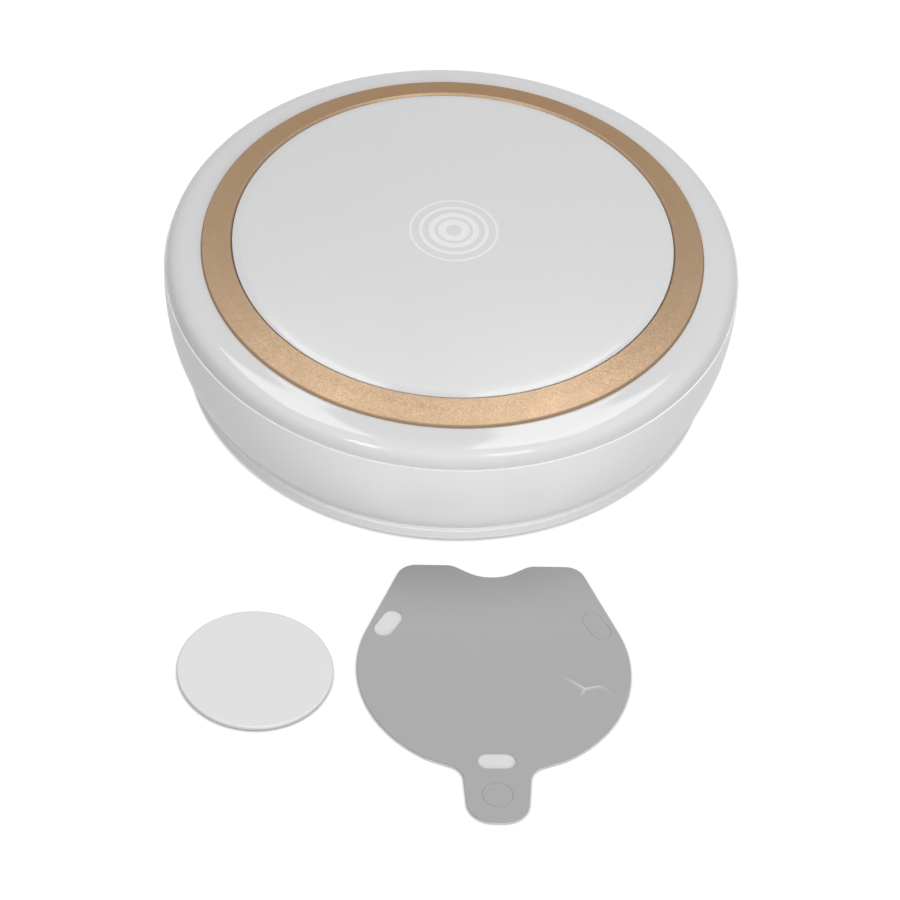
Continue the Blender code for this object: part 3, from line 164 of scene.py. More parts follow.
@dataclass(frozen=True)
class Finish:
    """A material, with the relief and the unevenness that its making leaves.

    Attributes:
        name: what it is and how it was made.
        colour: sRGB hex colour of the bulk.
        roughness: mean roughness of the skin.
        ior: index of refraction, left alone on a metal.
        metallic: one for a metal.
        specular: specular level, where 0.5 leaves the index of refraction to speak.
        edge_tint: sRGB hex colour of a reflection at a flat angle.
        subsurface: share of the light that wanders under the skin.
        subsurface_mm: how far it wanders.
        transmission: share of the light that goes through.
        relief: kind of fine relief.
        grain_mm: width of one grain.
        relief_mm: height of the grain.
        ripple_mm: width of the slow ripple that a moulded skin has from shrinking.
        ripple_height_mm: height of that ripple.
        cloud_mm: width of the clouds in which colour and gloss drift.
        colour_spread: how far the colour drifts, as a share of itself.
        gloss_spread: how far the roughness drifts.
    """

    name: str
    colour: str
    roughness: float
    ior: float = 1.5
    metallic: float = 0.0
    specular: float = 0.5
    edge_tint: str = "#ffffff"
    subsurface: float = 0.0
    subsurface_mm: float = 1.0
    transmission: float = 0.0
    relief: Relief = Relief.GRAIN
    grain_mm: float = 0.4
    relief_mm: float = 0.001
    ripple_mm: float = 14.0
    ripple_height_mm: float = 0.0
    cloud_mm: float = 11.0
    colour_spread: float = 0.015
    gloss_spread: float = 0.03

    def material(self) -> bpy.types.Material:
        """Return the finish's material, made once.

        Returns:
            The material with its node tree.
        """
        known = bpy.data.materials.get(self.name)
        if known:
            return known
        material = bpy.data.materials.new(self.name)
        material.use_nodes = True
        material.diffuse_color = linear(self.colour)
        tree = material.node_tree
        shader = tree.nodes["Principled BSDF"]
        self.set_shader(shader)
        place = add_node(tree, "ShaderNodeTexCoord").outputs["Object"]
        cloud = add_node(tree, "ShaderNodeTexNoise", inputs={
            "Vector": place, "Scale": per_metre(self.cloud_mm), "Detail": CLOUD_DETAIL})
        ground = Ground(tree, place, cloud.outputs["Fac"])
        tree.links.new(self.tint(ground), shader.inputs["Base Color"])
        tree.links.new(self.gloss(ground), shader.inputs["Roughness"])
        tree.links.new(self.skin(ground), shader.inputs["Normal"])
        return material

    def set_shader(self, shader: bpy.types.Node) -> None:
        """Set what is the same all over the surface on the shader's own sockets.

        Args:
            shader: the material's shader node.
        """
        values = {
            "Metallic": self.metallic,
            "Specular IOR Level": self.specular,
            "Specular Tint": linear(self.edge_tint),
            "Subsurface Weight": self.subsurface,
            "Subsurface Radius": (1.0, 1.0, 1.0),
            "Subsurface Scale": self.subsurface_mm * MM,
            "Transmission Weight": self.transmission,
        }
        if not self.metallic:
            values["IOR"] = self.ior
        for name, value in values.items():
            shader.inputs[name].default_value = value

    def tint(self, ground: Ground) -> bpy.types.NodeSocket:
        """Return the colour, which drifts a little in clouds.

        Args:
            ground: what it is painted on.

        Returns:
            The colour's socket.
        """
        red, green, blue, alpha = linear(self.colour)
        low, high = 1 - self.colour_spread, 1 + self.colour_spread
        mix = add_node(ground.tree, "ShaderNodeMix", {"data_type": "RGBA"}, {
            0: ground.cloud, 6: (red * low, green * low, blue * low, alpha),
            7: (red * high, green * high, blue * high, alpha)})
        return mix.outputs[2]

    def gloss(self, ground: Ground) -> bpy.types.NodeSocket:
        """Return the roughness, which drifts a little in clouds.

        Args:
            ground: what it is painted on.

        Returns:
            The roughness's socket.
        """
        low, high = CLOUD_RANGE
        drift = add_node(ground.tree, "ShaderNodeMapRange", inputs={
            "Value": ground.cloud, "From Min": low, "From Max": high,
            "To Min": self.roughness - self.gloss_spread, "To Max": self.roughness + self.gloss_spread})
        return drift.outputs["Result"]

    def skin(self, ground: Ground) -> bpy.types.NodeSocket:
        """Return the normal, bent by the slow ripple and by the fine relief over it.

        Args:
            ground: what the relief is painted on.

        Returns:
            The normal's socket.
        """
        tree = ground.tree
        ripple = add_node(tree, "ShaderNodeTexNoise", inputs={
            "Vector": ground.place, "Scale": per_metre(self.ripple_mm), "Detail": RIPPLE_DETAIL})
        slow = add_node(tree, "ShaderNodeBump", inputs={
            "Height": ripple.outputs["Fac"], "Distance": self.ripple_height_mm * MM, "Strength": 1.0})
        stretched = add_node(tree, "ShaderNodeMapping", inputs={
            "Vector": ground.place, "Scale": self.relief.value})
        grain = add_node(tree, "ShaderNodeTexNoise", inputs={
            "Vector": stretched.outputs["Vector"], "Scale": per_metre(self.grain_mm),
            "Detail": GRAIN_DETAIL})
        fine = add_node(tree, "ShaderNodeBump", inputs={
            "Height": grain.outputs["Fac"], "Distance": self.relief_mm * MM, "Strength": 1.0,
            "Normal": slow.outputs["Normal"]})
        return fine.outputs["Normal"]


@dataclass(frozen=True)
class TouchPanelFinish(Finish):
    """Opal moulding with the touch sign printed on its crown: four pale rings round the axis.

    The panel inside the ring is finely matted, so that fingers leave no marks, and the shoulder
    round it is polished.

    Attributes:
        ink: sRGB hex colour of the print.
        bands: inner and outer radius of each printed ring in millimetres.
        bleed_mm: how softly a printed edge ends.
        panel_roughness: roughness of the matted panel.
        panel_mm: radius at which the shoulder's full polish starts.
        polish_mm: width over which the matt face turns to polish.
    """

    ink: str = "#dcdcdd"
    bands: tuple[Point, ...] = ((1.59, 3.12), (3.84, 5.04), (6.23, 6.97), (8.44, 8.92))
    bleed_mm: float = 0.14
    panel_roughness: float = 0.30
    panel_mm: float = 43.4
    polish_mm: float = 1.0

    def tint(self, ground: Ground) -> bpy.types.NodeSocket:
        """Return the moulding's colour with the printed rings over it.

        Args:
            ground: what it is painted on.

        Returns:
            The colour's socket.
        """
        radius = self.radius(ground)
        bands = [self.band(ground, radius, inner, outer) for inner, outer in self.bands]
        printed = bands[0]
        for band in bands[1:]:
            printed = add_node(ground.tree, "ShaderNodeMath", {"operation": "MAXIMUM"}, {
                0: printed, 1: band}).outputs[0]
        mix = add_node(ground.tree, "ShaderNodeMix", {"data_type": "RGBA"}, {
            0: printed, 6: super().tint(ground), 7: linear(self.ink)})
        return mix.outputs[2]

    def radius(self, ground: Ground) -> bpy.types.NodeSocket:
        """Return the distance from the lamp's axis.

        Args:
            ground: what it is painted on.

        Returns:
            The distance's socket, in metres.
        """
        flat = add_node(ground.tree, "ShaderNodeVectorMath", {"operation": "MULTIPLY"}, {
            0: ground.place, 1: (1.0, 1.0, 0.0)})
        length = add_node(ground.tree, "ShaderNodeVectorMath", {"operation": "LENGTH"}, {
            0: flat.outputs["Vector"]})
        return length.outputs["Value"]

    def band(self, ground: Ground, radius: bpy.types.NodeSocket, inner: float,
             outer: float) -> bpy.types.NodeSocket:
        """Return where one ring is printed.

        Args:
            ground: what the ring is painted on.
            radius: the distance from the axis, in metres.
            inner: the ring's inner radius in millimetres.
            outer: its outer radius in millimetres.

        Returns:
            One on the ring and zero beside it, with a soft edge.
        """
        middle, half = (inner + outer) / 2 * MM, (outer - inner) / 2 * MM
        soft = self.bleed_mm * MM / 2
        away = add_node(ground.tree, "ShaderNodeMath", {"operation": "SUBTRACT"}, {0: radius, 1: middle})
        apart = add_node(ground.tree, "ShaderNodeMath", {"operation": "ABSOLUTE"}, {0: away.outputs[0]})
        band = add_node(ground.tree, "ShaderNodeMapRange", {"interpolation_type": "SMOOTHSTEP"}, {
            "Value": apart.outputs[0], "From Min": half + soft, "From Max": half - soft})
        return band.outputs["Result"]

    def gloss(self, ground: Ground) -> bpy.types.NodeSocket:
        """Return the roughness: matt on the panel and polished outside it.

        Args:
            ground: what it is painted on.

        Returns:
            The roughness's socket.
        """
        matted = add_node(ground.tree, "ShaderNodeMapRange", inputs={
            "Value": self.radius(ground), "From Min": (self.panel_mm - self.polish_mm) * MM,
            "From Max": self.panel_mm * MM, "To Min": self.panel_roughness - self.roughness,
            "To Max": 0.0})
        both = add_node(ground.tree, "ShaderNodeMath", {"operation": "ADD"}, {
            0: super().gloss(ground), 1: matted.outputs["Result"]})
        return both.outputs[0]


@dataclass(frozen=True)
class FlakePaintFinish(Finish):
    """Metallic paint: each flake leans its own way and has its own tone.

    Attributes:
        flake_mm: width of one flake.
        lean: how far a flake leans from the surface, in radians.
        flake_spread: how far a flake's tone lies from the paint's, as a share of it.
    """

    flake_mm: float = 0.2
    lean: float = 0.06
    flake_spread: float = 0.06

    def flakes(self, ground: Ground) -> bpy.types.NodeSocket:
        """Return three random numbers for each flake, as a colour.

        Args:
            ground: what it is painted on.

        Returns:
            The numbers' socket.
        """
        cells = add_node(ground.tree, "ShaderNodeTexVoronoi", {"feature": "F1"}, {
            "Vector": ground.place, "Scale": per_metre(self.flake_mm)})
        return cells.outputs["Color"]

    def tint(self, ground: Ground) -> bpy.types.NodeSocket:
        """Return the paint's colour, which changes from flake to flake.

        Args:
            ground: what it is painted on.

        Returns:
            The colour's socket.
        """
        tone = add_node(ground.tree, "ShaderNodeSeparateColor", inputs={"Color": self.flakes(ground)})
        share = add_node(ground.tree, "ShaderNodeMapRange", inputs={
            "Value": tone.outputs["Green"], "To Min": 1 - self.flake_spread,
            "To Max": 1 + self.flake_spread})
        scaled = add_node(ground.tree, "ShaderNodeVectorMath", {"operation": "SCALE"}, {
            0: super().tint(ground), "Scale": share.outputs["Result"]})
        return scaled.outputs["Vector"]

    def skin(self, ground: Ground) -> bpy.types.NodeSocket:
        """Return the normal, which each flake bends its own way.

        Args:
            ground: what the flakes are painted on.

        Returns:
            The normal's socket.
        """
        tree = ground.tree
        centred = add_node(tree, "ShaderNodeVectorMath", {"operation": "SUBTRACT"}, {
            0: self.flakes(ground), 1: (0.5, 0.5, 0.5)})
        lean = add_node(tree, "ShaderNodeVectorMath", {"operation": "SCALE"}, {
            0: centred.outputs["Vector"], "Scale": 2 * self.lean})
        normal = add_node(tree, "ShaderNodeNewGeometry").outputs["Normal"]
        leaning = add_node(tree, "ShaderNodeVectorMath", {"operation": "ADD"}, {
            0: normal, 1: lean.outputs["Vector"]})
        unit = add_node(tree, "ShaderNodeVectorMath", {"operation": "NORMALIZE"}, {
            0: leaning.outputs["Vector"]})
        return unit.outputs["Vector"]


@dataclass(frozen=True)
class CreasedFilmFinish(Finish):
    """Cast film with a painted highlight on the crests of its folds.

    Attributes:
        crest_start_mm: height at which the painted highlight starts, just above the flat face.
        crest_end_mm: height at which the painted highlight is at full strength.
        stretched: sRGB hex colour of the painted highlight on the crests.
    """

    crest_start_mm: float = 0.54
    crest_end_mm: float = 0.65
    # Colour of the painted highlight on the crests.
    stretched: str = "#cbcbcb"

    def tint(self, ground: Ground) -> bpy.types.NodeSocket:
        """Return the film's colour, with a painted highlight on the crests of its folds.

        Args:
            ground: what it is painted on.

        Returns:
            The colour's socket.
        """
        height = add_node(ground.tree, "ShaderNodeSeparateXYZ", inputs={"Vector": ground.place})
        raised = add_node(ground.tree, "ShaderNodeMapRange", inputs={
            "Value": height.outputs["Z"], "From Min": self.crest_start_mm * MM,
            "From Max": self.crest_end_mm * MM})
        # A paler colour above a height: a painted highlight on the crests.
        mix = add_node(ground.tree, "ShaderNodeMix", {"data_type": "RGBA"}, {
            0: raised.outputs["Result"], 6: super().tint(ground), 7: linear(self.stretched)})
        return mix.outputs[2]


@dataclass(frozen=True)
class Finishes:
    """Every finish of the lamp, the disc and the sheet."""

    # Opal polycarbonate, moulded in a polished tool: a milky white whose edges stay soft because light
    # wanders in it, with clear but slightly wavy reflections outside the matted panel.
    opal: Finish = TouchPanelFinish(
        "opal_polycarbonate_moulded", "#cdcdce", 0.07, ior=1.58, specular=0.33, subsurface=0.12,
        subsurface_mm=1.2, grain_mm=0.9, relief_mm=0.0004, ripple_mm=13.0, ripple_height_mm=0.012,
        colour_spread=0.008, gloss_spread=0.012)
    # Champagne metallic lacquer, sprayed on moulded ABS: flakes that glitter one by one, which gives a
    # satin metal with a fine grain. Real flakes of about 0.04 mm are too fine to show, so these are
    # drawn 0.2 mm wide.
    gold: Finish = FlakePaintFinish(
        "champagne_metallic_lacquer", "#a28a71", 0.42, metallic=1.0, edge_tint="#d8bda6",
        cloud_mm=6.0, colour_spread=0.02, gloss_spread=0.04, flake_mm=0.2, lean=0.06,
        flake_spread=0.06)
    # White ABS, moulded in a tool with a dull polish: long highlights are soft and bend a little.
    shell: Finish = Finish(
        "white_abs_polished", "#e2e2e2", 0.32, ior=1.54, subsurface=0.05, subsurface_mm=0.6,
        grain_mm=0.8, relief_mm=0.0004, ripple_mm=11.0, ripple_height_mm=0.010,
        colour_spread=0.008, gloss_spread=0.02)
    # The same ABS in a lighter colour on the ledge at the parting seam: a painted highlight,
    # which makes the seam a pale line.
    painted_seam_highlight: Finish = Finish(
        "white_abs_painted_seam_highlight", "#ececec", 0.35, ior=1.54, grain_mm=0.2, relief_mm=0.002)
    # White ABS, moulded in a finely eroded tool: the same white with a satin skin.
    base: Finish = Finish(
        "white_abs_satin", "#dadada", 0.34, ior=1.54, grain_mm=0.22, relief_mm=0.003,
        ripple_mm=16.0, ripple_height_mm=0.010)
    # White powder coat on stamped iron: baked powder leaves a soft orange peel.
    powder: Finish = Finish(
        "white_powder_coat", "#d4d4d4", 0.42, ior=1.5, grain_mm=0.7, relief_mm=0.006,
        ripple_mm=9.0, ripple_height_mm=0.01, colour_spread=0.01)
    # Acrylic foam tape: closed cells that look like fine matt sponge where it is cut.
    foam: Finish = Finish(
        "acrylic_foam_tape", "#d5d5cf", 0.75, grain_mm=0.16, relief_mm=0.03, colour_spread=0.04)
    # Grey acrylic adhesive film, cast and die cut: even grey with a faint haze and a satin face.
    # The crests of its crease carry a painted highlight in a paler grey.
    film: Finish = CreasedFilmFinish(
        "grey_acrylic_adhesive_film", "#a2a2a2", 0.55, ior=1.47, specular=0.3, grain_mm=0.5,
        relief_mm=0.0012, ripple_mm=8.0, ripple_height_mm=0.02, cloud_mm=7.0, colour_spread=0.02,
        gloss_spread=0.05)
    # Siliconised release film: pale, slick and slightly wavy.
    liner: Finish = Finish(
        "siliconised_release_film", "#d3d3d3", 0.24, ior=1.42, grain_mm=0.6, relief_mm=0.002,
        ripple_mm=6.0, ripple_height_mm=0.02, cloud_mm=4.0, colour_spread=0.02, gloss_spread=0.02)
    # Nickel plate on drawn steel: a warm grey mirror, broken by fine drawing lines.
    steel: Finish = Finish(
        "nickel_plated_steel", "#c8c5bf", 0.24, metallic=1.0, relief=Relief.DRAWN, grain_mm=0.12,
        relief_mm=0.002, cloud_mm=3.0, colour_spread=0.03, gloss_spread=0.03)
    # Nickel plate on sintered magnet: the same metal over a slightly pebbly body.
    magnet: Finish = Finish(
        "nickel_plated_neodymium", "#bdbbb6", 0.2, metallic=1.0, grain_mm=0.5, relief_mm=0.003,
        cloud_mm=3.0, gloss_spread=0.05)
    # Gold flash on copper contacts: thin, bright and yellow.
    contact: Finish = Finish(
        "gold_flashed_contact", "#e6b85c", 0.22, metallic=1.0, relief=Relief.DRAWN, grain_mm=0.1,
        relief_mm=0.001, cloud_mm=1.0)
    # Rolled copper foil: bare metal with rolling lines and darker clouds where air has dulled it.
    copper: Finish = Finish(
        "rolled_copper_foil", "#d99a75", 0.32, metallic=1.0, relief=Relief.DRAWN, grain_mm=0.2,
        relief_mm=0.003, cloud_mm=4.0, colour_spread=0.08, gloss_spread=0.08)
    # Black ABS with a fine spark-eroded skin: matt, so that a finger grips it.
    knob: Finish = Finish(
        "black_abs_eroded", "#1c1c1e", 0.5, ior=1.54, grain_mm=0.12, relief_mm=0.004,
        cloud_mm=1.5, colour_spread=0.06, gloss_spread=0.06)
    # Clear polycarbonate, moulded as a light pipe: glassy, with a slight haze inside.
    clear: Finish = Finish(
        "clear_polycarbonate_moulded", "#f4f6f6", 0.08, ior=1.58, transmission=0.85, grain_mm=0.5,
        relief_mm=0.0005, gloss_spread=0.02)
    # Titanium-white polypropylene, moulded matt: it spreads the LEDs' light.
    reflector: Finish = Finish(
        "white_polypropylene_matt", "#ededed", 0.55, ior=1.49, grain_mm=0.3, relief_mm=0.004)
    # White solder mask over glass cloth: silk gloss with the cloth's weave just felt.
    white_board: Finish = Finish(
        "white_solder_mask", "#e6e6e2", 0.4, grain_mm=0.5, relief_mm=0.003, cloud_mm=5.0)
    # Green solder mask over copper and glass cloth: darker and lighter where copper lies below.
    green_board: Finish = Finish(
        "green_solder_mask", "#1d6b3a", 0.32, grain_mm=0.45, relief_mm=0.004, cloud_mm=2.2,
        colour_spread=0.16, gloss_spread=0.05)
    # Phosphor in silicone on the LED: a grainy yellow gel.
    phosphor: Finish = Finish(
        "yellow_phosphor_silicone", "#e8cf72", 0.36, ior=1.41, subsurface=0.2, subsurface_mm=0.3,
        grain_mm=0.12, relief_mm=0.004, cloud_mm=0.6, colour_spread=0.08)
    # PVC shrink film on the cell: glossy, tight, with faint stretch ripples.
    wrap: Finish = Finish(
        "blue_pvc_shrink_film", "#2f5f9e", 0.22, ior=1.53, grain_mm=0.7, relief_mm=0.004,
        ripple_mm=7.0, ripple_height_mm=0.05, colour_spread=0.05)
    # Extruded PVC wire jackets: smooth and slightly waxy.
    red_jacket: Finish = Finish(
        "red_pvc_jacket", "#b3211c", 0.36, ior=1.53, grain_mm=0.3, relief_mm=0.002, cloud_mm=3.0,
        colour_spread=0.06)
    black_jacket: Finish = Finish(
        "black_pvc_jacket", "#202022", 0.36, ior=1.53, grain_mm=0.3, relief_mm=0.002, cloud_mm=3.0,
        colour_spread=0.06)
    # Epoxy moulding compound of a chip: matt black with a glassy grain.
    epoxy: Finish = Finish(
        "black_epoxy_compound", "#262626", 0.55, grain_mm=0.1, relief_mm=0.004, cloud_mm=1.0,
        colour_spread=0.08)


# Profiles


def polar(radius: float, angle: float) -> Point:
    """Return the point at a radius and an angle about the lamp's axis."""
    return radius * math.cos(angle), radius * math.sin(angle)


def spaced_angles(count: int, start: float = 0.0) -> list[float]:
    """Return angles spaced evenly round a circle."""
    return [start + math.tau * i / count for i in range(count)]


def bezier(start: Point, first: Point, second: Point, end: Point, count: int) -> list[Point]:
    """Return points along a cubic curve, ends included.

    Args:
        start: where it starts.
        first: its first handle.
        second: its second handle.
        end: where it ends.
        count: number of points.

    Returns:
        The points in order.
    """
    points = []
    for i in range(count):
        t = i / (count - 1)
        weights = ((1 - t) ** 3, 3 * t * (1 - t) ** 2, 3 * t * t * (1 - t), t ** 3)
        points.append(tuple(sum(w * c[k] for w, c in zip(weights, (start, first, second, end)))
                            for k in (0, 1)))
    return points


def arch(edge_radius: float, edge_height: float, rise: float, count: int) -> list[Point]:
    """Return a shallow dome's profile, from its crown on the axis to its edge.

    Args:
        edge_radius: radius of the dome's edge.
        edge_height: height of that edge.
        rise: how far the crown stands above it.
        count: number of points.

    Returns:
        The points, as radius and height.
    """
    sphere = (edge_radius ** 2 + rise ** 2) / (2 * rise)
    points = []
    for i in range(count):
        radius = edge_radius * i / (count - 1)
        drop = sphere - math.sqrt(sphere ** 2 - radius ** 2)
        points.append((radius, edge_height + rise - drop))
    return points


def rounded_rectangle(width: float, height: float, corner: float, steps: int = 10) -> list[Point]:
    """Return the outline of an upright rectangle with rounded corners, about its centre.

    Args:
        width: size across.
        height: size upwards.
        corner: radius of the corners, cut to half a side.
        steps: straight steps in each corner.

    Returns:
        The points, anticlockwise.
    """
    radius = min(corner, width / 2, height / 2)
    x, y = width / 2 - radius, height / 2 - radius
    points = []
    for quarter, (cx, cy) in enumerate(((x, y), (-x, y), (-x, -y), (x, -y))):
        for k in range(steps + 1):
            ox, oy = polar(radius, math.pi / 2 * (quarter + k / steps))
            points.append((cx + ox, cy + oy))
    return points


def plain(points: Sequence[Point]) -> list[Corner]:
    """Return a curve's points as corners without rounding."""
    return [(radius, height, 0.0) for radius, height in points]


def rounded(corners: Sequence[Corner], closed: bool, steps: int = 5) -> list[Point]:
    """Round the corners of a profile or an outline.

    Args:
        corners: two coordinates and the rounding radius of each corner, in order.
        closed: whether the last corner leads back to the first.
        steps: straight steps in each rounded corner.

    Returns:
        The points of the rounded line.
    """
    points: list[Point] = []
    count = len(corners)
    for i, (x, y, rounding) in enumerate(corners):
        if rounding <= 0.0 or (not closed and i in (0, count - 1)):
            points.append((x, y))
            continue
        here = Vector((x, y))
        last, following = corners[i - 1], corners[(i + 1) % count]
        before, after = Vector(last[:2]) - here, Vector(following[:2]) - here
        half = before.angle(after) / 2
        reach = rounding / math.tan(half)
        for run, other in ((before, last), (after, following)):
            reach = min(reach, run.length * (SHARED_RUN if other[2] > 0.0 else OWN_RUN))
        centre = here + (before.normalized() + after.normalized()).normalized() * reach / math.cos(half)
        start = here + before.normalized() * reach - centre
        end = here + after.normalized() * reach - centre
        sweep = math.copysign(start.angle(end), start.x * end.y - start.y * end.x)
        for k in range(steps + 1):
            points.append(tuple(centre + Matrix.Rotation(sweep * k / steps, 2) @ start))
    return points


def supported(points: Sequence[Point], closed: bool) -> list[Point]:
    """Add points close to both ends of each long straight run, which keep its shading flat.

    Args:
        points: the profile.
        closed: whether its last point leads back to the first.

    Returns:
        The profile with the added points.
    """
    result: list[Point] = []
    pairs = list(zip(points, points[1:]))
    if closed:
        pairs.append((points[-1], points[0]))
    for start, end in pairs:
        result.append(start)
        run = Vector(end) - Vector(start)
        if run.length > LONG_RUN_MM:
            step = run.normalized() * SUPPORT_MM
            result += [tuple(Vector(start) + step), tuple(Vector(end) - step)]
    if not closed:
        result.append(points[-1])
    return result


# Meshes


def placed(name: str, data: bpy.types.ID) -> bpy.types.Object:
    """Make an object of a mesh, curve, lamp or camera, and link it to the scene.

    Args:
        name: the object's name.
        data: what the object shows.

    Returns:
        The object.
    """
    item = bpy.data.objects.new(name, data)
    bpy.context.scene.collection.objects.link(item)
    return item


def make_object(name: str, build: Callable[[bmesh.types.BMesh], None]) -> bpy.types.Object:
    """Make an object from a function that fills a bmesh in millimetres.

    Args:
        name: the object's name.
        build: the function that fills the mesh.

    Returns:
        The object, with its mesh in metres and its faces pointing out.
    """
    work = bmesh.new()
    build(work)
    bmesh.ops.remove_doubles(work, verts=work.verts, dist=MERGE_MM)
    bmesh.ops.recalc_face_normals(work, faces=work.faces)
    bmesh.ops.scale(work, vec=(MM, MM, MM), verts=work.verts)
    mesh = bpy.data.meshes.new(name)
    work.to_mesh(mesh)
    work.free()
    return placed(name, mesh)


def turned(name: str, profile: Sequence[Point], steps: int = FINE_STEPS,
           centre: Point = (0.0, 0.0)) -> bpy.types.Object:
    """Turn a profile of (radius, height) about a vertical axis.

    Args:
        name: the object's name.
        profile: the points. One that starts on the axis ends there too, and any other is closed.
        steps: facets round the axis.
        centre: where the axis stands.

    Returns:
        The turned object.
    """
    closed = profile[0][0] > 0.0
    points = supported(profile, closed)

    def build(work: bmesh.types.BMesh) -> None:
        """Spin the profile.

        Args:
            work: the mesh that it fills.
        """
        verts = [work.verts.new((radius, 0.0, height)) for radius, height in points]
        edges = [work.edges.new(pair) for pair in zip(verts, verts[1:])]
        if closed:
            edges.append(work.edges.new((verts[-1], verts[0])))
        bmesh.ops.spin(work, geom=verts + edges, axis=(0.0, 0.0, 1.0), cent=(0.0, 0.0, 0.0),
                       steps=steps, angle=math.tau, use_merge=True)
        bmesh.ops.translate(work, verts=work.verts, vec=(*centre, 0.0))

    return make_object(name, build)


def rod(name: str, radius: float, x: float, y: float, bottom: float, top: float,
        steps: int = 40) -> bpy.types.Object:
    """Make an upright rod between two heights.

    Args:
        name: the object's name.
        radius: its radius.
        x: where it stands along X.
        y: where it stands along Y.
        bottom: height of its foot.
        top: height of its upper end.
        steps: facets round it.

    Returns:
        The rod.
    """
    def build(work: bmesh.types.BMesh) -> None:
        """Place a cylinder.

        Args:
            work: the mesh that it fills.
        """
        bmesh.ops.create_cone(work, cap_ends=True, segments=steps, radius1=radius, radius2=radius,
                              depth=top - bottom, matrix=Matrix.Translation((x, y, (bottom + top) / 2)))
    return make_object(name, build)


def block(name: str, size: Sequence[float], centre: Sequence[float], turn: float = 0.0,
          edge: float = 0.0) -> bpy.types.Object:
    """Make a box, turned about the vertical through its centre.

    Args:
        name: the object's name.
        size: its three sides.
        centre: its centre.
        turn: how far it is turned.
        edge: width of its rounded edges, zero for sharp ones.

    Returns:
        The box.
    """
    def build(work: bmesh.types.BMesh) -> None:
        """Place a cube and round its edges.

        Args:
            work: the mesh that it fills.
        """
        placing = Matrix.Translation(Vector(centre)) @ Matrix.Rotation(turn, 4, "Z")
        bmesh.ops.create_cube(work, size=1.0, matrix=placing @ Matrix.Diagonal((*size, 1.0)))
        if edge:
            bmesh.ops.bevel(work, geom=work.edges, offset=edge, segments=EDGE_SEGMENTS,
                            profile=ROUND_PROFILE, affect="EDGES", clamp_overlap=True)
    return make_object(name, build)


def level(height: float) -> Depth:
    """Return a depth that is the same everywhere."""
    return lambda _x, _z: height


def lofted(name: str, width: float, height: float, corner: float, centre: Point,
           stations: Sequence[tuple[float, Depth]]) -> bpy.types.Object:
    """Loft a rounded rectangle along Y.

    Args:
        name: the object's name.
        width: size along X.
        height: size along Z.
        corner: radius of the corners.
        centre: the centre in X and Z.
        stations: for each section how much it grows all round, and its Y as a function of X and Z.

    Returns:
        The closed loft.
    """
    def build(work: bmesh.types.BMesh) -> None:
        """Bridge the sections and close both ends.

        Args:
            work: the mesh that it fills.
        """
        rings = []
        for grow, depth in stations:
            outline = rounded_rectangle(width + 2 * grow, height + 2 * grow, corner + grow)
            places = [(centre[0] + x, centre[1] + z) for x, z in outline]
            rings.append([work.verts.new((x, depth(x, z), z)) for x, z in places])
        count = len(rings[0])
        for near, far in zip(rings, rings[1:]):
            for i in range(count):
                j = (i + 1) % count
                work.faces.new((near[i], near[j], far[j], far[i]))
        work.faces.new(rings[0])
        work.faces.new(list(reversed(rings[-1])))
    return make_object(name, build)


def gathered(objects: Sequence[bpy.types.Object]) -> bpy.types.Object:
    """Gather separate small solids in the first object and return it.

    Args:
        objects: solids that don't touch each other.

    Returns:
        The object that holds them all.
    """
    work = bmesh.new()
    for item in objects:
        work.from_mesh(item.data)
    work.to_mesh(objects[0].data)
    work.free()
    for item in objects[1:]:
        bpy.data.objects.remove(item)
    return objects[0]


def combine(part: bpy.types.Object, tools: Sequence[bpy.types.Object], how: Join) -> None:
    """Cut tools from a part or add them to it, and remove them.

    Args:
        part: the piece that stays.
        tools: tools that don't touch each other.
        how: cut or add.
    """
    joined = gathered(tools)
    modifier = part.modifiers.new(joined.name, "BOOLEAN")
    modifier.operation = how.value
    modifier.object = joined
    graph = bpy.context.evaluated_depsgraph_get()
    mesh = bpy.data.meshes.new_from_object(part.evaluated_get(graph))
    part.modifiers.clear()
    part.data = mesh
    bpy.data.objects.remove(joined)


def dress(piece: bpy.types.Object, finish: Finish, body: str, slot: str, *nodes: str) -> None:
    """Finish a piece, let it ride on its body and let it stand for CAD nodes.

    Args:
        piece: the piece, in its place.
        finish: its finish.
        body: the CAD body that carries it.
        slot: the record's material slot, not used.
        nodes: the CAD nodes that it stands for.
    """
    piece.data.materials.clear()
    piece.data.materials.append(finish.material())
    piece.data.shade_smooth()
    piece.data.set_sharp_from_angle(angle=SHARP_ANGLE)
    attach(piece, body)
    if nodes:
        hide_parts(*nodes)
    LOG.info("%s: %d faces, rides on %s, stands for %s", piece.name, len(piece.data.polygons), body,
             ", ".join(nodes) or "no node")


def recoat(node: str, finish: Finish) -> None:
    """Give a CAD node that stays a finish, in place of its plain one.

    Args:
        node: the node's name.
        finish: its finish.
    """
    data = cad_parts[node].data
    data.materials.clear()
    data.materials.append(finish.material())
    LOG.info("%s: finished in %s", node, finish.name)


# Sub-assemblies


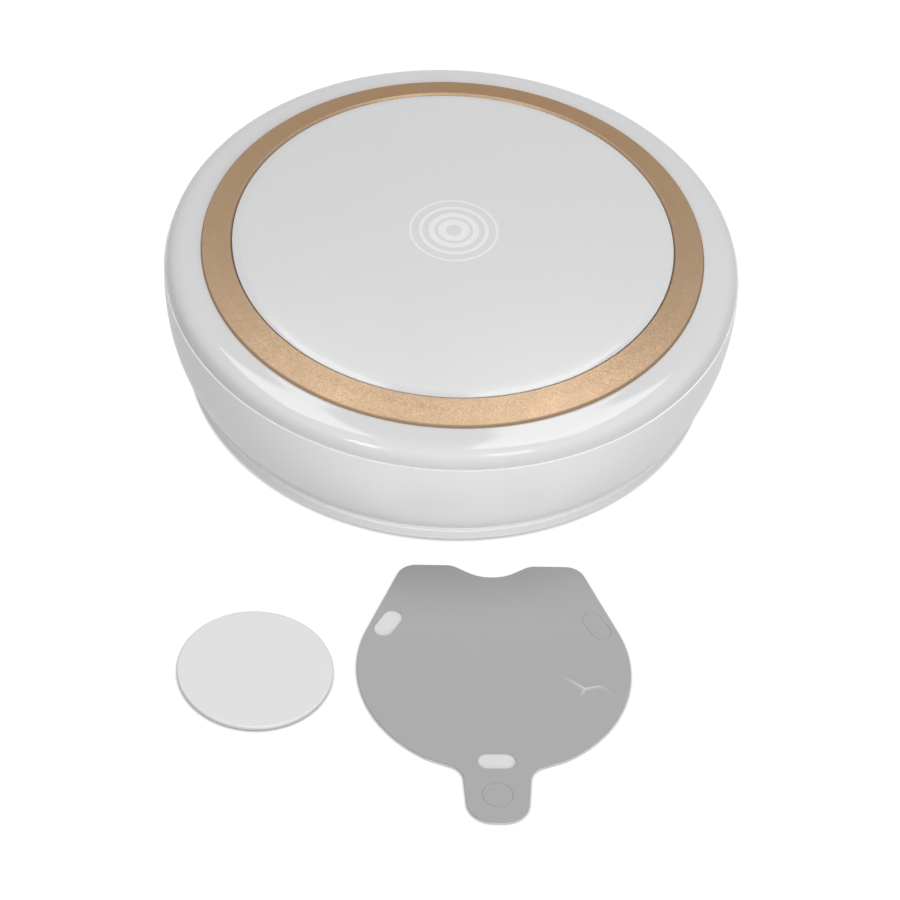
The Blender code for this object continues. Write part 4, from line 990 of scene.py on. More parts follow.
@dataclass(frozen=True)
class HousingSizes:
    """The housing's driving sizes in millimetres, as the solids have them.

    The field crisp is the rounding of an edge that is left as sharp as a mould can make it, and samples
    is the number of points by which a radius of the side wall is read off its curve.
    """

    gap: float = 0.3
    wall: float = 2.0
    seam_radius: float = 57.6
    wall_taper: float = 5.7
    shell_bottom: float = 3.2
    shell_top: float = 24.4
    upper_reach: float = 13.6
    lower_reach: float = 3.4
    foot_lean: float = math.radians(55)
    shoulder_rise: float = 4.1
    shoulder_width: float = 7.1
    groove_width: float = 6.6
    groove_depth: float = 0.8
    screw_count: int = 4
    boss_radius: float = 3.0
    boss_height: float = 10.0
    boss_wall_gap: float = 1.1
    screw_hole: float = 1.3
    peg_count: int = 6
    port_height: float = 11.8
    crisp: float = 0.1
    samples: int = 60

    @property
    def foot_radius(self) -> float:
        """Radius of the side wall's foot."""
        return self.seam_radius - self.wall_taper

    @property
    def seam_height(self) -> float:
        """Height of the parting seam."""
        return self.shell_top + self.gap

    @property
    def shoulder_height(self) -> float:
        """Height of the shoulder beside the ring."""
        return self.seam_height + self.shoulder_rise

    @property
    def shoulder_radius(self) -> float:
        """Radius at which the shoulder starts."""
        return self.seam_radius - self.shoulder_width

    @property
    def panel_radius(self) -> float:
        """Radius of the touch panel."""
        return self.shoulder_radius - self.groove_width

    @property
    def groove_floor(self) -> float:
        """Height of the floor that the ring lies on."""
        return self.shoulder_height - self.groove_depth

    def side_curve(self, inset: float, top: float, count: int) -> list[Point]:
        """Return the side wall's profile from a top height down to its foot.

        Args:
            inset: how far it lies inside the outer face.
            top: height at which it starts.
            count: number of points.

        Returns:
            The points, as radius and height.
        """
        upper = (self.seam_radius - inset, top)
        foot = (self.foot_radius - inset, self.shell_bottom)
        upper_handle = (upper[0], upper[1] - self.upper_reach)
        foot_handle = (foot[0] + self.lower_reach * math.cos(self.foot_lean),
                       foot[1] + self.lower_reach * math.sin(self.foot_lean))
        return bezier(upper, upper_handle, foot_handle, foot, count)

    def wall_radius(self, height: float) -> float:
        """Return the side wall's outer radius at a height.

        Args:
            height: the height.

        Returns:
            The radius.
        """
        side = self.side_curve(0.0, self.shell_top, self.samples)
        curve = sorted((z, radius) for radius, z in side)
        for (low, first), (high, second) in zip(curve, curve[1:]):
            if low <= height <= high:
                return first + (second - first) * (height - low) / (high - low)
        return self.seam_radius

    def wall_depth(self, sunk: float) -> Depth:
        """Return a function of X and Z that gives the Y of the rear wall, sunk by a depth."""
        return lambda x, z: math.sqrt((self.wall_radius(z) - sunk) ** 2 - x ** 2)

    @property
    def boss_circle(self) -> float:
        """Radius on which the screw bosses stand.

        Returns:
            The radius, which keeps the bosses clear of the wall.
        """
        narrowest = min(self.wall_radius(self.shell_bottom),
                        self.wall_radius(self.shell_bottom + self.boss_height))
        return narrowest - self.wall - self.boss_wall_gap - self.boss_radius

    def peg_places(self) -> list[Point]:
        """Return the places of the ring's pegs, along the middle of the groove."""
        circle = (self.shoulder_radius + self.panel_radius) / 2
        return [polar(circle, angle) for angle in spaced_angles(self.peg_count)]

    def screw_angles(self) -> list[float]:
        """Return the angles at which the screws, their bosses and the posts stand."""
        return spaced_angles(self.screw_count, math.pi / 4)


@dataclass
class TopDiffuser:
    """The opal dome: touch panel, ring groove, rounded shoulder and snap skirt."""

    sizes: HousingSizes
    finishes: Finishes
    panel_edge_rise: float = 2.6
    panel_edge: float = 0.2
    ring_fit: float = 0.21
    lip_rise: float = 0.2
    lip_reach: float = 0.3
    brow_width: float = 2.5
    brow_lean: float = math.radians(8)
    dome_rise: float = 3.0
    shoulder_slope: float = math.radians(8.6)
    inner_reach: float = 4.0
    outer_reach: float = 4.1
    lip_inset: float = 0.28
    lip_edge: float = 0.05
    skirt_height: float = 3.0
    skirt_wall: float = 1.5
    bead_height: float = 0.6
    bead_depth: float = 0.3
    skirt_edge: float = 0.2
    skirt_fillet: float = 0.8
    inner_fillet: float = 0.5
    peg_hole: float = 1.2
    shoulder_points: int = 22
    dome_points: int = 48
    inner_points: int = 12

    def brow(self, radius: float, edge: float) -> float:
        """Return how far the panel drops below its dome at a radius, close to its edge."""
        reach = max(0.0, radius - edge + self.brow_width)
        return math.tan(self.brow_lean) * reach ** 2 / (2 * self.brow_width)

    def profile(self) -> list[Point]:
        """Return the dome's section, from its crown down the outside and back inside.

        Returns:
            The points, as radius and height.
        """
        s = self.sizes
        edge_height = s.shoulder_height + self.panel_edge_rise
        seam = (s.seam_radius - self.lip_inset, s.seam_height)
        edge, edge_top = s.shoulder_radius - self.lip_reach, s.shoulder_height + self.lip_rise
        shoulder = bezier(
            (edge, edge_top),
            (edge + self.inner_reach * math.cos(self.shoulder_slope),
             edge_top - self.inner_reach * math.sin(self.shoulder_slope)),
            (seam[0], seam[1] + self.outer_reach), seam, self.shoulder_points)
        skirt = s.seam_radius - s.wall - s.gap
        skirt_bottom = s.seam_height - self.skirt_height
        bead = skirt_bottom + self.skirt_height / 2
        underside = s.groove_floor - s.wall
        skirt_inner = skirt - self.skirt_wall
        panel = s.panel_radius + self.ring_fit
        sphere = arch(panel, edge_height, self.dome_rise, self.dome_points)
        dome = [(radius, z - self.brow(radius, panel)) for radius, z in sphere]
        corners: list[Corner] = plain(dome[:-1])
        corners += [
            (*dome[-1], self.panel_edge),
            (panel, s.groove_floor, s.crisp),
            (edge, s.groove_floor, s.crisp),
            (edge, edge_top, s.crisp),
        ]
        corners += plain(shoulder[1:-1])
        corners += [
            (*seam, self.lip_edge),
            (skirt, s.seam_height, s.crisp),
            (skirt, bead + self.bead_height, s.crisp),
            (skirt + self.bead_depth, bead, s.crisp),
            (skirt, bead - self.bead_height, s.crisp),
            (skirt, skirt_bottom, self.skirt_edge),
            (skirt_inner, skirt_bottom, self.skirt_edge),
            (skirt_inner, s.seam_height + self.skirt_wall, self.skirt_fillet),
            (skirt_inner - self.skirt_wall, underside, self.inner_fillet),
            (s.panel_radius - s.wall, underside, self.inner_fillet),
        ]
        inner = arch(s.panel_radius - s.wall, edge_height - s.wall, self.dome_rise, self.inner_points)
        corners += plain(inner[::-1])
        return rounded(corners, closed=False)

    def build(self) -> None:
        """Build the dome, bore its peg holes and dress it."""
        s = self.sizes
        part = turned("diffuser_dome", self.profile())
        combine(part, [rod("peg_hole", self.peg_hole, x, y, s.groove_floor - 2 * s.wall,
                           s.groove_floor + s.gap) for x, y in s.peg_places()], Join.CUT)
        dress(part, self.finishes.opal, "lamp", "opal_plastic", "top_diffuser")


@dataclass
class TrimRing:
    """The gold ring in the dome's groove, with the pegs that hold it."""

    sizes: HousingSizes
    finishes: Finishes
    wall_height: float = 1.35
    crest_inset: float = 0.1
    inner_rise: float = 2.7
    inner_chamfer: float = 0.4
    inner_edge: float = 0.12
    crest_edge: float = 0.3
    crest_bulge: float = 0.03
    bulge_rounding: float = 9.0
    skirt_spread: float = 0.12
    skirt_rise: float = 0.25
    skirt_edge: float = 0.05
    edge_steps: int = 8
    peg_radius: float = 0.9
    peg_reach: float = 1.5

    def profile(self) -> list[Point]:
        """Return the ring's section: a wedge whose top slopes outwards and bulges slightly.

        Returns:
            The points, as radius and height.
        """
        s = self.sizes
        bottom = s.groove_floor + s.gap
        inner, outer = s.panel_radius + s.gap, s.shoulder_radius - s.gap
        inner_top = s.shoulder_height + self.inner_rise
        crest = (outer - self.crest_inset, bottom + self.wall_height)
        bulge = ((inner + crest[0]) / 2, (inner_top + crest[1]) / 2 + self.crest_bulge)
        corners = [
            (inner, bottom, s.crisp),
            (inner, inner_top - self.inner_chamfer, self.inner_edge),
            (inner + self.inner_chamfer, inner_top, self.inner_edge),
            (*bulge, self.bulge_rounding),
            (*crest, self.crest_edge),
            (outer + self.skirt_spread, s.shoulder_height + self.skirt_rise, self.skirt_edge),
            (outer, s.shoulder_height, 0.0),
            (outer, bottom, s.crisp),
        ]
        return rounded(corners[::-1], closed=True, steps=self.edge_steps)

    def build(self) -> None:
        """Build the ring with its pegs and dress it."""
        s = self.sizes
        part = turned("gold_ring", self.profile())
        bottom = s.groove_floor + s.gap
        combine(part, [rod("ring_peg", self.peg_radius, x, y, bottom - self.peg_reach,
                           bottom + self.peg_radius) for x, y in s.peg_places()], Join.ADD)
        dress(part, self.finishes.gold, "lamp", "gold_paint", "trim_ring")


@dataclass
class RearPorts:
    """What looks out of the rear wall: charging socket, charging light and slide switch."""

    sizes: HousingSizes
    finishes: Finishes
    socket_x: float = -6.5
    socket_width: float = 9.0
    socket_height: float = 3.2
    socket_length: float = 7.5
    socket_sheet: float = 0.4
    lip_steps: int = 6
    recess_margin: float = 1.7
    recess_depth: float = 0.9
    tongue_width: float = 6.2
    tongue_thickness: float = 0.7
    tongue_length: float = 4.8
    tongue_edge: float = 0.12
    contact_count: int = 12
    contact_pitch: float = 0.48
    contact_width: float = 0.26
    contact_length: float = 3.4
    contact_height: float = 0.06
    contact_edge: float = 0.02
    knob_x: float = 6.25
    knob_width: float = 3.0
    knob_height: float = 2.6
    knob_travel: float = 2.5
    knob_stand_out: float = 0.8
    knob_edge: float = 0.22
    rib_count: int = 3
    rib_width: float = 0.4
    rib_height: float = 0.3
    rib_edge: float = 0.12
    stem_width: float = 1.6
    stem_height: float = 1.4
    stem_edge: float = 0.1
    window_corner: float = 0.35
    lens_x: float = 2.1
    lens_radius: float = 0.9
    lens_dome: float = 0.35
    lens_steps: int = 8
    mouth_edge: float = 0.25
    mouth_steps: int = 4

    @property
    def socket_face(self) -> float:
        """Y of the socket's mouth, on the floor of the recess."""
        s = self.sizes
        return s.wall_depth(0.0)(self.socket_x, s.port_height) - self.recess_depth

    def opening(self, name: str, width: float, height: float, corner: float, x: float,
                inner: float) -> bpy.types.Object:
        """Return a cutter whose mouth is rounded where it meets the curved rear wall.

        Args:
            name: the cutter's name.
            width: width of the opening.
            height: height of the opening.
            corner: radius of its corners.
            x: its centre.
            inner: Y at which the cutter starts, inside the wall.

        Returns:
            The cutter.
        """
        s = self.sizes
        stations: list[tuple[float, Depth]] = [(0.0, level(inner))]
        for k in range(self.mouth_steps + 1):
            angle = math.pi / 2 * k / self.mouth_steps
            grow = self.mouth_edge * (1 - math.cos(angle))
            stations.append((grow, s.wall_depth(self.mouth_edge * (1 - math.sin(angle)))))
        stations.append((self.mouth_edge, s.wall_depth(-s.wall)))
        return lofted(name, width, height, corner, (x, s.port_height), stations)

    def wall_cutters(self) -> list[bpy.types.Object]:
        """Return the cutters of the rear wall's openings.

        Returns:
            Cutters that don't touch each other.
        """
        s = self.sizes
        inside = s.foot_radius - 3 * s.wall
        margin, clear = 2 * self.recess_margin, 2 * s.gap
        window_height = self.socket_height + clear
        window = lofted("socket_window", self.socket_width + clear, window_height, window_height / 2,
                        (self.socket_x, s.port_height),
                        [(0.0, level(inside)), (0.0, level(self.socket_face + s.gap))])
        recess_height = self.socket_height + margin
        recess = self.opening("socket_recess", self.socket_width + margin, recess_height,
                              recess_height / 2, self.socket_x, self.socket_face)
        combine(recess, [window], Join.ADD)
        switch_x = self.knob_x + self.knob_travel / 2
        slot = self.opening("switch_window", self.knob_width + self.knob_travel + clear,
                            self.knob_height + clear, self.window_corner, switch_x, inside)
        hole_width = 2 * (self.lens_radius + s.gap)
        hole = self.opening("lens_hole", hole_width, hole_width, hole_width / 2, self.lens_x, inside)
        return [recess, slot, hole]

    def build(self) -> None:
        """Build and dress the socket, the switch knob and the light pipe."""
        self.build_socket()
        self.build_knob()
        self.build_lens()

    def build_socket(self) -> None:
        """Build the socket's folded metal shell, its tongue and the tongue's contacts."""
        s = self.sizes
        face, sheet = self.socket_face, self.socket_sheet
        back = face - self.socket_length
        floor = back + 2 * sheet
        half = sheet / 2
        stations: list[tuple[float, Depth]] = [(0.0, level(back))]
        for k in range(self.lip_steps + 1):
            angle = math.pi * k / self.lip_steps
            stations.append((half * (math.cos(angle) - 1), level(face - half + half * math.sin(angle))))
        stations.append((-sheet, level(floor)))
        shell = lofted("socket_shell", self.socket_width, self.socket_height, self.socket_height / 2,
                       (self.socket_x, s.port_height), stations)
        dress(shell, self.finishes.steel, "lamp", "plated_steel", "charge_socket")
        tongue = block("socket_tongue", (self.tongue_width, self.tongue_length, self.tongue_thickness),
                       (self.socket_x, floor + self.tongue_length / 2, s.port_height),
                       edge=self.tongue_edge)
        dress(tongue, self.finishes.knob, "lamp", "knob_plastic")
        size = (self.contact_width, self.contact_length, self.contact_height)
        y = floor + self.tongue_length - self.contact_length / 2 - self.tongue_thickness / 2
        contacts = []
        first = -(self.contact_count - 1) / 2
        for side in (-1, 1):
            z = s.port_height + side * (self.tongue_thickness + self.contact_height) / 2
            for i in range(self.contact_count):
                x = self.socket_x + (first + i) * self.contact_pitch
                contacts.append(block("socket_contacts", size, (x, y, z), edge=self.contact_edge))
        dress(gathered(contacts), self.finishes.contact, "lamp", "copper_foil")

    def build_knob(self) -> None:
        """Build the ribbed knob with its stem, at rest."""
        s = self.sizes
        front = s.wall_depth(0.0)(self.knob_x + self.knob_travel / 2, s.port_height) + self.knob_stand_out
        stem_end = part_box("switch_slider")[0].y / MM
        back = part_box("switch_body")[1].y / MM + s.gap
        knob = block("switch_knob", (self.knob_width, front - back, self.knob_height),
                     (self.knob_x, (front + back) / 2, s.port_height), edge=self.knob_edge)
        ribs = [block("knob_stem", (self.stem_width, back - stem_end + s.gap, self.stem_height),
                      (self.knob_x, (stem_end + back + s.gap) / 2, s.port_height),
                      edge=self.stem_edge)]
        pitch = self.knob_width / self.rib_count
        for i in range(self.rib_count):
            x = self.knob_x + pitch * (i - (self.rib_count - 1) / 2)
            size = (self.rib_width, 2 * self.rib_height, self.knob_height - 2 * self.rib_height)
            ribs.append(block("knob_rib", size, (x, front, s.port_height), edge=self.rib_edge))
        combine(knob, ribs, Join.ADD)
        dress(knob, self.finishes.knob, "power_knob", "knob_plastic", "switch_slider")

    def build_lens(self) -> None:
        """Build the light pipe with its domed end."""
        s = self.sizes
        low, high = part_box("indicator_lens")
        back, front = low.y / MM, high.y / MM
        stations: list[tuple[float, Depth]] = [(0.0, level(back))]
        for k in range(self.lens_steps):
            angle = math.pi / 2 * k / self.lens_steps
            grow = self.lens_radius * (math.cos(angle) - 1)
            stations.append((grow, level(front - self.lens_dome + self.lens_dome * math.sin(angle))))
        width = 2 * self.lens_radius
        pipe = lofted("light_pipe", width, width, self.lens_radius, (self.lens_x, s.port_height), stations)
        dress(pipe, self.finishes.clear, "lamp", "clear_plastic", "indicator_lens")


@dataclass
class LowerShell:
    """The tapered side wall with its screw bosses and the rear wall's openings."""

    sizes: HousingSizes
    finishes: Finishes
    ports: RearPorts
    seam_line: float = 0.01
    ledge_width: float = 0.4
    ledge_drop: float = 0.08
    top_edge: float = 0.04
    foot_edge: float = 0.05
    foot_rounding: float = 0.4
    foot_reach: float = 0.29
    foot_flare: float = 0.3
    flare_power: int = 4
    bead_height: float = 0.6
    bead_depth: float = 0.3
    bead_drop: float = 1.5
    rib_width: float = 1.6
    rib_lift: float = 0.2
    outer_points: int = 30
    inner_points: int = 24

    def profile(self) -> list[Point]:
        """Return the wall's section, down the outside and up the inside.

        Returns:
            The points, as radius and height.
        """
        s = self.sizes
        top = s.seam_height - self.seam_line
        wall_top = top - self.ledge_drop
        outer = []
        for radius, z in s.side_curve(0.0, wall_top, self.outer_points):
            share = (wall_top - z) / (wall_top - s.shell_bottom)
            outer.append((radius + self.foot_flare * share ** self.flare_power, z))
        inner = s.side_curve(s.wall, top, self.inner_points)[::-1]
        bead = s.seam_height - self.bead_drop
        wall = s.seam_radius - s.wall
        groove = [
            (wall, bead - 2 * self.bead_height, s.crisp),
            (wall + self.bead_depth, bead, s.crisp),
            (wall, bead + 2 * self.bead_height, s.crisp),
        ]
        foot = s.shell_bottom - self.foot_reach
        corners = [(*outer[0], self.top_edge)] + plain(outer[1:-1]) + [(*outer[-1], self.foot_rounding)]
        corners += [(outer[-1][0], foot, self.foot_edge), (inner[0][0], foot, s.crisp)]
        corners += plain([point for point in inner[1:] if point[1] < groove[0][1] - self.bead_height])
        corners += groove + [(wall, top, self.top_edge), (s.seam_radius - self.ledge_width, top, 0.0)]
        return rounded(corners, closed=True)

    def bosses(self) -> tuple[list[bpy.types.Object], list[bpy.types.Object]]:
        """Return the bosses with their gussets, and the bores that are cut in them.

        Returns:
            The bosses, and their bores.
        """
        s = self.sizes
        top = s.shell_bottom + s.boss_height
        start = s.boss_circle + s.boss_radius / 2
        end = s.wall_radius(s.shell_bottom) - s.wall / 2
        height = s.boss_height - self.rib_width
        lean = s.wall_radius(s.shell_bottom + height) - s.wall / 2 - end
        added, bores = [], []
        for angle in s.screw_angles():
            x, y = polar(s.boss_circle, angle)
            post = rod("boss", s.boss_radius, x, y, s.shell_bottom, top)
            rib = block("gusset", (end - start, self.rib_width, height),
                        ((start + end) / 2, 0.0, s.shell_bottom + self.rib_lift + height / 2))
            for vert in rib.data.vertices:
                if vert.co.x > (start + end) / 2 * MM and vert.co.z > (s.shell_bottom + height / 2) * MM:
                    vert.co.x += lean * MM
            rib.data.transform(Matrix.Rotation(angle, 4, "Z"))
            combine(post, [rib], Join.ADD)
            added.append(post)
            bores.append(rod("boss_bore", s.screw_hole, x, y, s.shell_bottom - s.wall, top - s.wall / 2))
        return added, bores

    def build(self) -> None:
        """Build the wall with its bosses, cut its openings and dress it."""
        s = self.sizes
        part = turned("side_shell", self.profile())
        added, bores = self.bosses()
        combine(part, added, Join.ADD)
        combine(part, bores + self.ports.wall_cutters(), Join.CUT)
        dress(part, self.finishes.shell, "lamp", "shell_plastic", "lower_shell")
        # The ledge at the seam gets the lighter finish, a painted highlight that makes the seam a pale
        # line.
        part.data.materials.append(self.finishes.painted_seam_highlight.material())
        lowest = (s.seam_height - self.seam_line - self.ledge_drop) * MM
        for face in part.data.polygons:
            if face.center.z > lowest and face.center.xy.length > (s.seam_radius - self.ledge_width) * MM:
                face.material_index = 1


@dataclass
class CoverScrew:
    """A pan-head screw with a tapered cross recess, which holds the base plate, head down."""

    sizes: HousingSizes
    finishes: Finishes
    head_radius: float = 2.2
    head_height: float = 1.3
    head_sink: float = 0.1
    head_taper: float = 0.45
    head_rounding: float = 0.5
    length: float = 8.5
    shank_radius: float = 1.0
    tip_rounding: float = 0.2
    cross_length: float = 2.3
    cross_width: float = 0.55
    cross_height: float = 1.2
    cross_turn: float = 0.4
    cross_taper: float = 0.6
    steps: int = 64

    def build(self, name: str, node: str, x: float, y: float) -> None:
        """Build and dress one screw.

        Args:
            name: the piece's name.
            node: the CAD node that it stands for.
            x: its place along X.
            y: its place along Y.
        """
        s = self.sizes
        seat = self.head_sink + self.head_height
        tip = seat + s.gap + self.length
        corners = [
            (0.0, tip, 0.0),
            (self.shank_radius, tip - self.shank_radius, self.tip_rounding),
            (self.shank_radius, seat, s.crisp),
            (self.head_radius, seat, s.crisp),
            (self.head_radius, self.head_sink + self.head_height / 2, self.head_rounding),
            (self.head_radius - self.head_taper, self.head_sink, self.head_rounding),
            (0.0, self.head_sink, 0.0),
        ]
        part = turned(name, rounded(corners, closed=False), self.steps, (x, y))
        combine(part, [self.cross(x, y)], Join.CUT)
        dress(part, self.finishes.steel, "lamp", "plated_steel", node)

    def cross(self, x: float, y: float) -> bpy.types.Object:
        """Return the cutter of the recess: two crossed arms that narrow into the head.

        Args:
            x: the screw's place along X.
            y: its place along Y.

        Returns:
            The cutter.
        """
        size = (self.cross_length, self.cross_width, self.cross_height)
        arms = [block("cross_arm", size, (x, y, self.head_sink), i * math.pi / 2 + self.cross_turn)
                for i in (0, 1)]
        combine(arms[0], [arms[1]], Join.ADD)
        centre = Vector((x, y, self.head_sink)) * MM
        for vert in arms[0].data.vertices:
            if vert.co.z > self.head_sink * MM:
                vert.co.x = centre.x + (vert.co.x - centre.x) * self.cross_taper
                vert.co.y = centre.y + (vert.co.y - centre.y) * self.cross_taper
        return arms[0]


@dataclass
class BaseCover:
    """The base plate: rim, recessed underside, centre pad, spigot, posts, rails and screws."""

    sizes: HousingSizes
    finishes: Finishes
    rim_stand_out: float = 0.8
    rim_height: float = 2.9
    rim_edge: float = 0.3
    bead_stand_out: float = 0.08
    bead_height: float = 0.75
    undercut_height: float = 0.35
    foot_inset: float = 1.2
    land_width: float = 11.0
    land_edge: float = 0.25
    recess_depth: float = 0.8
    recess_lean: float = 0.5
    plate_top: float = 2.6
    plate_fillet: float = 0.4
    centre_pad: float = 17.0
    magnet_radius: float = 10.0
    magnet_height: float = 3.0
    magnet_floor: float = 2.2
    pocket_wall: float = 1.5
    pocket_edge: float = 0.2
    spigot_wall: float = 1.5
    spigot_height: float = 2.7
    spigot_lead: float = 0.3
    root_edge: float = 0.15
    boss_seat: float = 0.2
    head_hole: float = 2.5
    head_depth: float = 1.7
    head_steps: int = 64
    post_radius: float = 3.0
    post_circle: float = 37.7
    post_top: float = 14.0
    control_post_radius: float = 2.6
    control_post_top: float = 8.0
    rail_wall: float = 1.2
    rail_height: float = 5.0
    rail_length: float = 16.0
    stop_length: float = 9.0

    def profile(self) -> list[Point]:
        """Return the plate's section, from the magnet's pocket out, down and back to the axis.

        Returns:
            The points, as radius and height.
        """
        s = self.sizes
        pocket = self.magnet_radius + s.gap
        pocket_top = self.magnet_floor + self.magnet_height + s.gap
        radius = s.foot_radius + self.rim_stand_out
        spigot = s.foot_radius - s.wall - s.gap
        spigot_top = self.rim_height + self.spigot_height
        land = radius - self.land_width
        corners = [
            (0.0, self.magnet_floor, 0.0),
            (pocket, self.magnet_floor, self.root_edge),
            (pocket, pocket_top, self.pocket_edge),
            (pocket + self.pocket_wall, pocket_top, self.pocket_edge),
            (pocket + self.pocket_wall, self.plate_top, self.plate_fillet),
            (spigot - self.spigot_wall, self.plate_top, self.plate_fillet),
            (spigot - self.spigot_wall, spigot_top, self.pocket_edge),
            (spigot, spigot_top, self.spigot_lead),
            (spigot, self.rim_height, self.root_edge),
            (radius, self.rim_height, self.rim_edge),
            (radius, self.bead_height + 2 * self.bead_stand_out, s.crisp),
            (radius + self.bead_stand_out, self.bead_height, s.crisp),
            (radius - self.undercut_height, self.undercut_height, s.crisp),
            (radius - self.foot_inset, self.undercut_height, s.crisp),
            (radius - self.foot_inset, 0.0, s.crisp),
            (land, 0.0, self.land_edge),
            (land - self.recess_lean, self.recess_depth, self.land_edge),
            (self.centre_pad + self.recess_lean, self.recess_depth, self.land_edge),
            (self.centre_pad, 0.0, self.land_edge),
            (0.0, 0.0, 0.0),
        ]
        return rounded(corners, closed=False)

    def build(self) -> None:
        """Build the plate with all that stands on it, cut its holes, dress it and add its screws."""
        s = self.sizes
        part = turned("base_plate", self.profile())
        self.cut_screw_holes(part)
        rooted = (self.recess_depth + self.plate_top) / 2
        places = [(*polar(self.post_circle, angle), self.post_radius, self.post_top)
                  for angle in s.screw_angles()]
        for name in ("control_screw_1", "control_screw_2"):
            low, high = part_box(name)
            middle = (low + high) / 2 / MM
            places.append((middle.x, middle.y, self.control_post_radius, self.control_post_top))
        posts, bores = [], []
        for x, y, radius, top in places:
            posts.append(rod("post", radius, x, y, rooted, top))
            bores.append(rod("post_bore", s.screw_hole, x, y, self.plate_top + s.wall / 2, top + s.wall))
        combine(part, posts + self.battery_rails(rooted), Join.ADD)
        combine(part, bores, Join.CUT)
        dress(part, self.finishes.base, "lamp", "base_plastic", "base_cover")
        screw = CoverScrew(s, self.finishes)
        for i, angle in enumerate(s.screw_angles(), start=1):
            screw.build(f"cover_screw_{i}", f"base_screw_{i}", *polar(s.boss_circle, angle))

    def cut_screw_holes(self, part: bpy.types.Object) -> None:
        """Cut the counterbored screw holes, and open the spigot round each boss.

        Args:
            part: the plate.
        """
        s = self.sizes
        top = self.rim_height + self.spigot_height + s.wall
        seat = self.rim_height - self.boss_seat
        near = s.boss_circle + s.boss_radius / 2
        far = s.foot_radius - s.wall / 2
        size = (far - near, 2 * (s.boss_radius + s.gap), top - seat)
        gaps, holes, heads = [], [], []
        for angle in s.screw_angles():
            x, y = polar(s.boss_circle, angle)
            place = (*polar((near + far) / 2, angle), (seat + top) / 2)
            gaps.append(block("spigot_gap", size, place, angle))
            holes.append(rod("base_hole", s.screw_hole, x, y, -s.wall, top))
            heads.append(rod("base_counterbore", self.head_hole, x, y, -s.wall, self.head_depth,
                             self.head_steps))
        for tools in (gaps, holes, heads):
            combine(part, tools, Join.CUT)

    def battery_rails(self, bottom: float) -> list[bpy.types.Object]:
        """Return the two rails and the two stops round the battery.

        Args:
            bottom: height at which they are rooted.

        Returns:
            Four blocks.
        """
        s = self.sizes
        low, high = (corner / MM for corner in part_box("battery_cell"))
        middle = (low + high) / 2
        wall, height = self.rail_wall, self.plate_top + self.rail_height - bottom
        side = (high.x - low.x) / 2 + s.gap + wall / 2
        end = (high.y - low.y) / 2 + s.gap + wall / 2
        z = bottom + height / 2
        rails = [block("battery_rail", (wall, self.rail_length, height),
                       (middle.x + way * side, middle.y, z)) for way in (-1, 1)]
        stops = [block("battery_stop", (self.stop_length, wall, height),
                       (middle.x, middle.y + way * end, z)) for way in (-1, 1)]
        return rails + stops


@dataclass
class MountingDisc:
    """The painted iron disc that lies in front of the lamp, with the foam pad under it."""

    finishes: Finishes
    radius: float = 15.0
    bottom: float = 0.3
    top: float = 1.2
    top_edge: float = 0.34
    bottom_edge: float = 0.2
    edge_steps: int = 8
    pad_thickness: float = 0.2
    pad_edge: float = 0.03

    def build(self) -> None:
        """Build and dress the disc and its pad."""
        low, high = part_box("mounting_disc")
        middle = (low + high) / 2 / MM
        place = (middle.x, middle.y)
        corners = [
            (0.0, self.top, 0.0),
            (self.radius, self.top, self.top_edge),
            (self.radius, self.bottom, self.bottom_edge),
            (0.0, self.bottom, 0.0),
        ]
        disc = turned("iron_disc", rounded(corners, closed=False, steps=self.edge_steps), centre=place)
        dress(disc, self.finishes.powder, "loose_disc", "iron_paint", "mounting_disc")
        low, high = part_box("disc_adhesive")
        radius = (high.x - low.x) / 2 / MM
        corners = [
            (0.0, self.pad_thickness, 0.0),
            (radius, self.pad_thickness, self.pad_edge),
            (radius, 0.0, self.pad_edge),
            (0.0, 0.0, 0.0),
        ]
        pad = turned("disc_pad", rounded(corners, closed=False), centre=place)
        dress(pad, self.finishes.foam, "loose_disc", "foam_tape", "disc_adhesive")


@dataclass
class Crease:
    """A fold pressed into the film by handling: low ridges that run out from one spot.

    Attributes:
        spot: where the ridges meet, in the sheet's own millimetres.
        branches: the corners of each ridge after the spot.
        area: lowest and highest corner of the area that the ridges lie in.
        height: height of the ridge at the spot.
        width: half its width there.
        fade_power: how fast a ridge sinks along its length.
    """

    spot: Point = (17.33, -4.77)
    branches: tuple[tuple[Point, ...], ...] = (
        ((13.23, -1.51), (9.8, 0.5)),
        ((20.24, -3.94), (22.48, -5.44), (25.4, -8.2)),
        ((15.7, -8.1),),
    )
    area: tuple[Point, Point] = ((8.3, -9.7), (26.1, 1.7))
    height: float = 0.14
    width: float = 0.34
    fade_power: float = 1.2

    def rise(self, x: float, y: float) -> float:
        """Return how far the film is raised at a point.

        Args:
            x: place along X, in the sheet's own millimetres.
            y: place along Y.

        Returns:
            Height over the flat face.
        """
        best = 0.0
        here = Vector((x, y))
        for branch in self.branches:
            line = [Vector(self.spot)] + [Vector(point) for point in branch]
            total = sum((b - a).length for a, b in zip(line, line[1:]))
            done = 0.0
            for a, b in zip(line, line[1:]):
                run = b - a
                share = max(0.0, min(1.0, (here - a).dot(run) / run.length_squared))
                along = (done + share * run.length) / total
                away = (here - a - run * share).length
                done += run.length
                fade = (1 - along) ** self.fade_power
                width = self.width * (1 + along)
                best = max(best, self.height * fade * math.exp(-(away / width) ** 2))
        return best


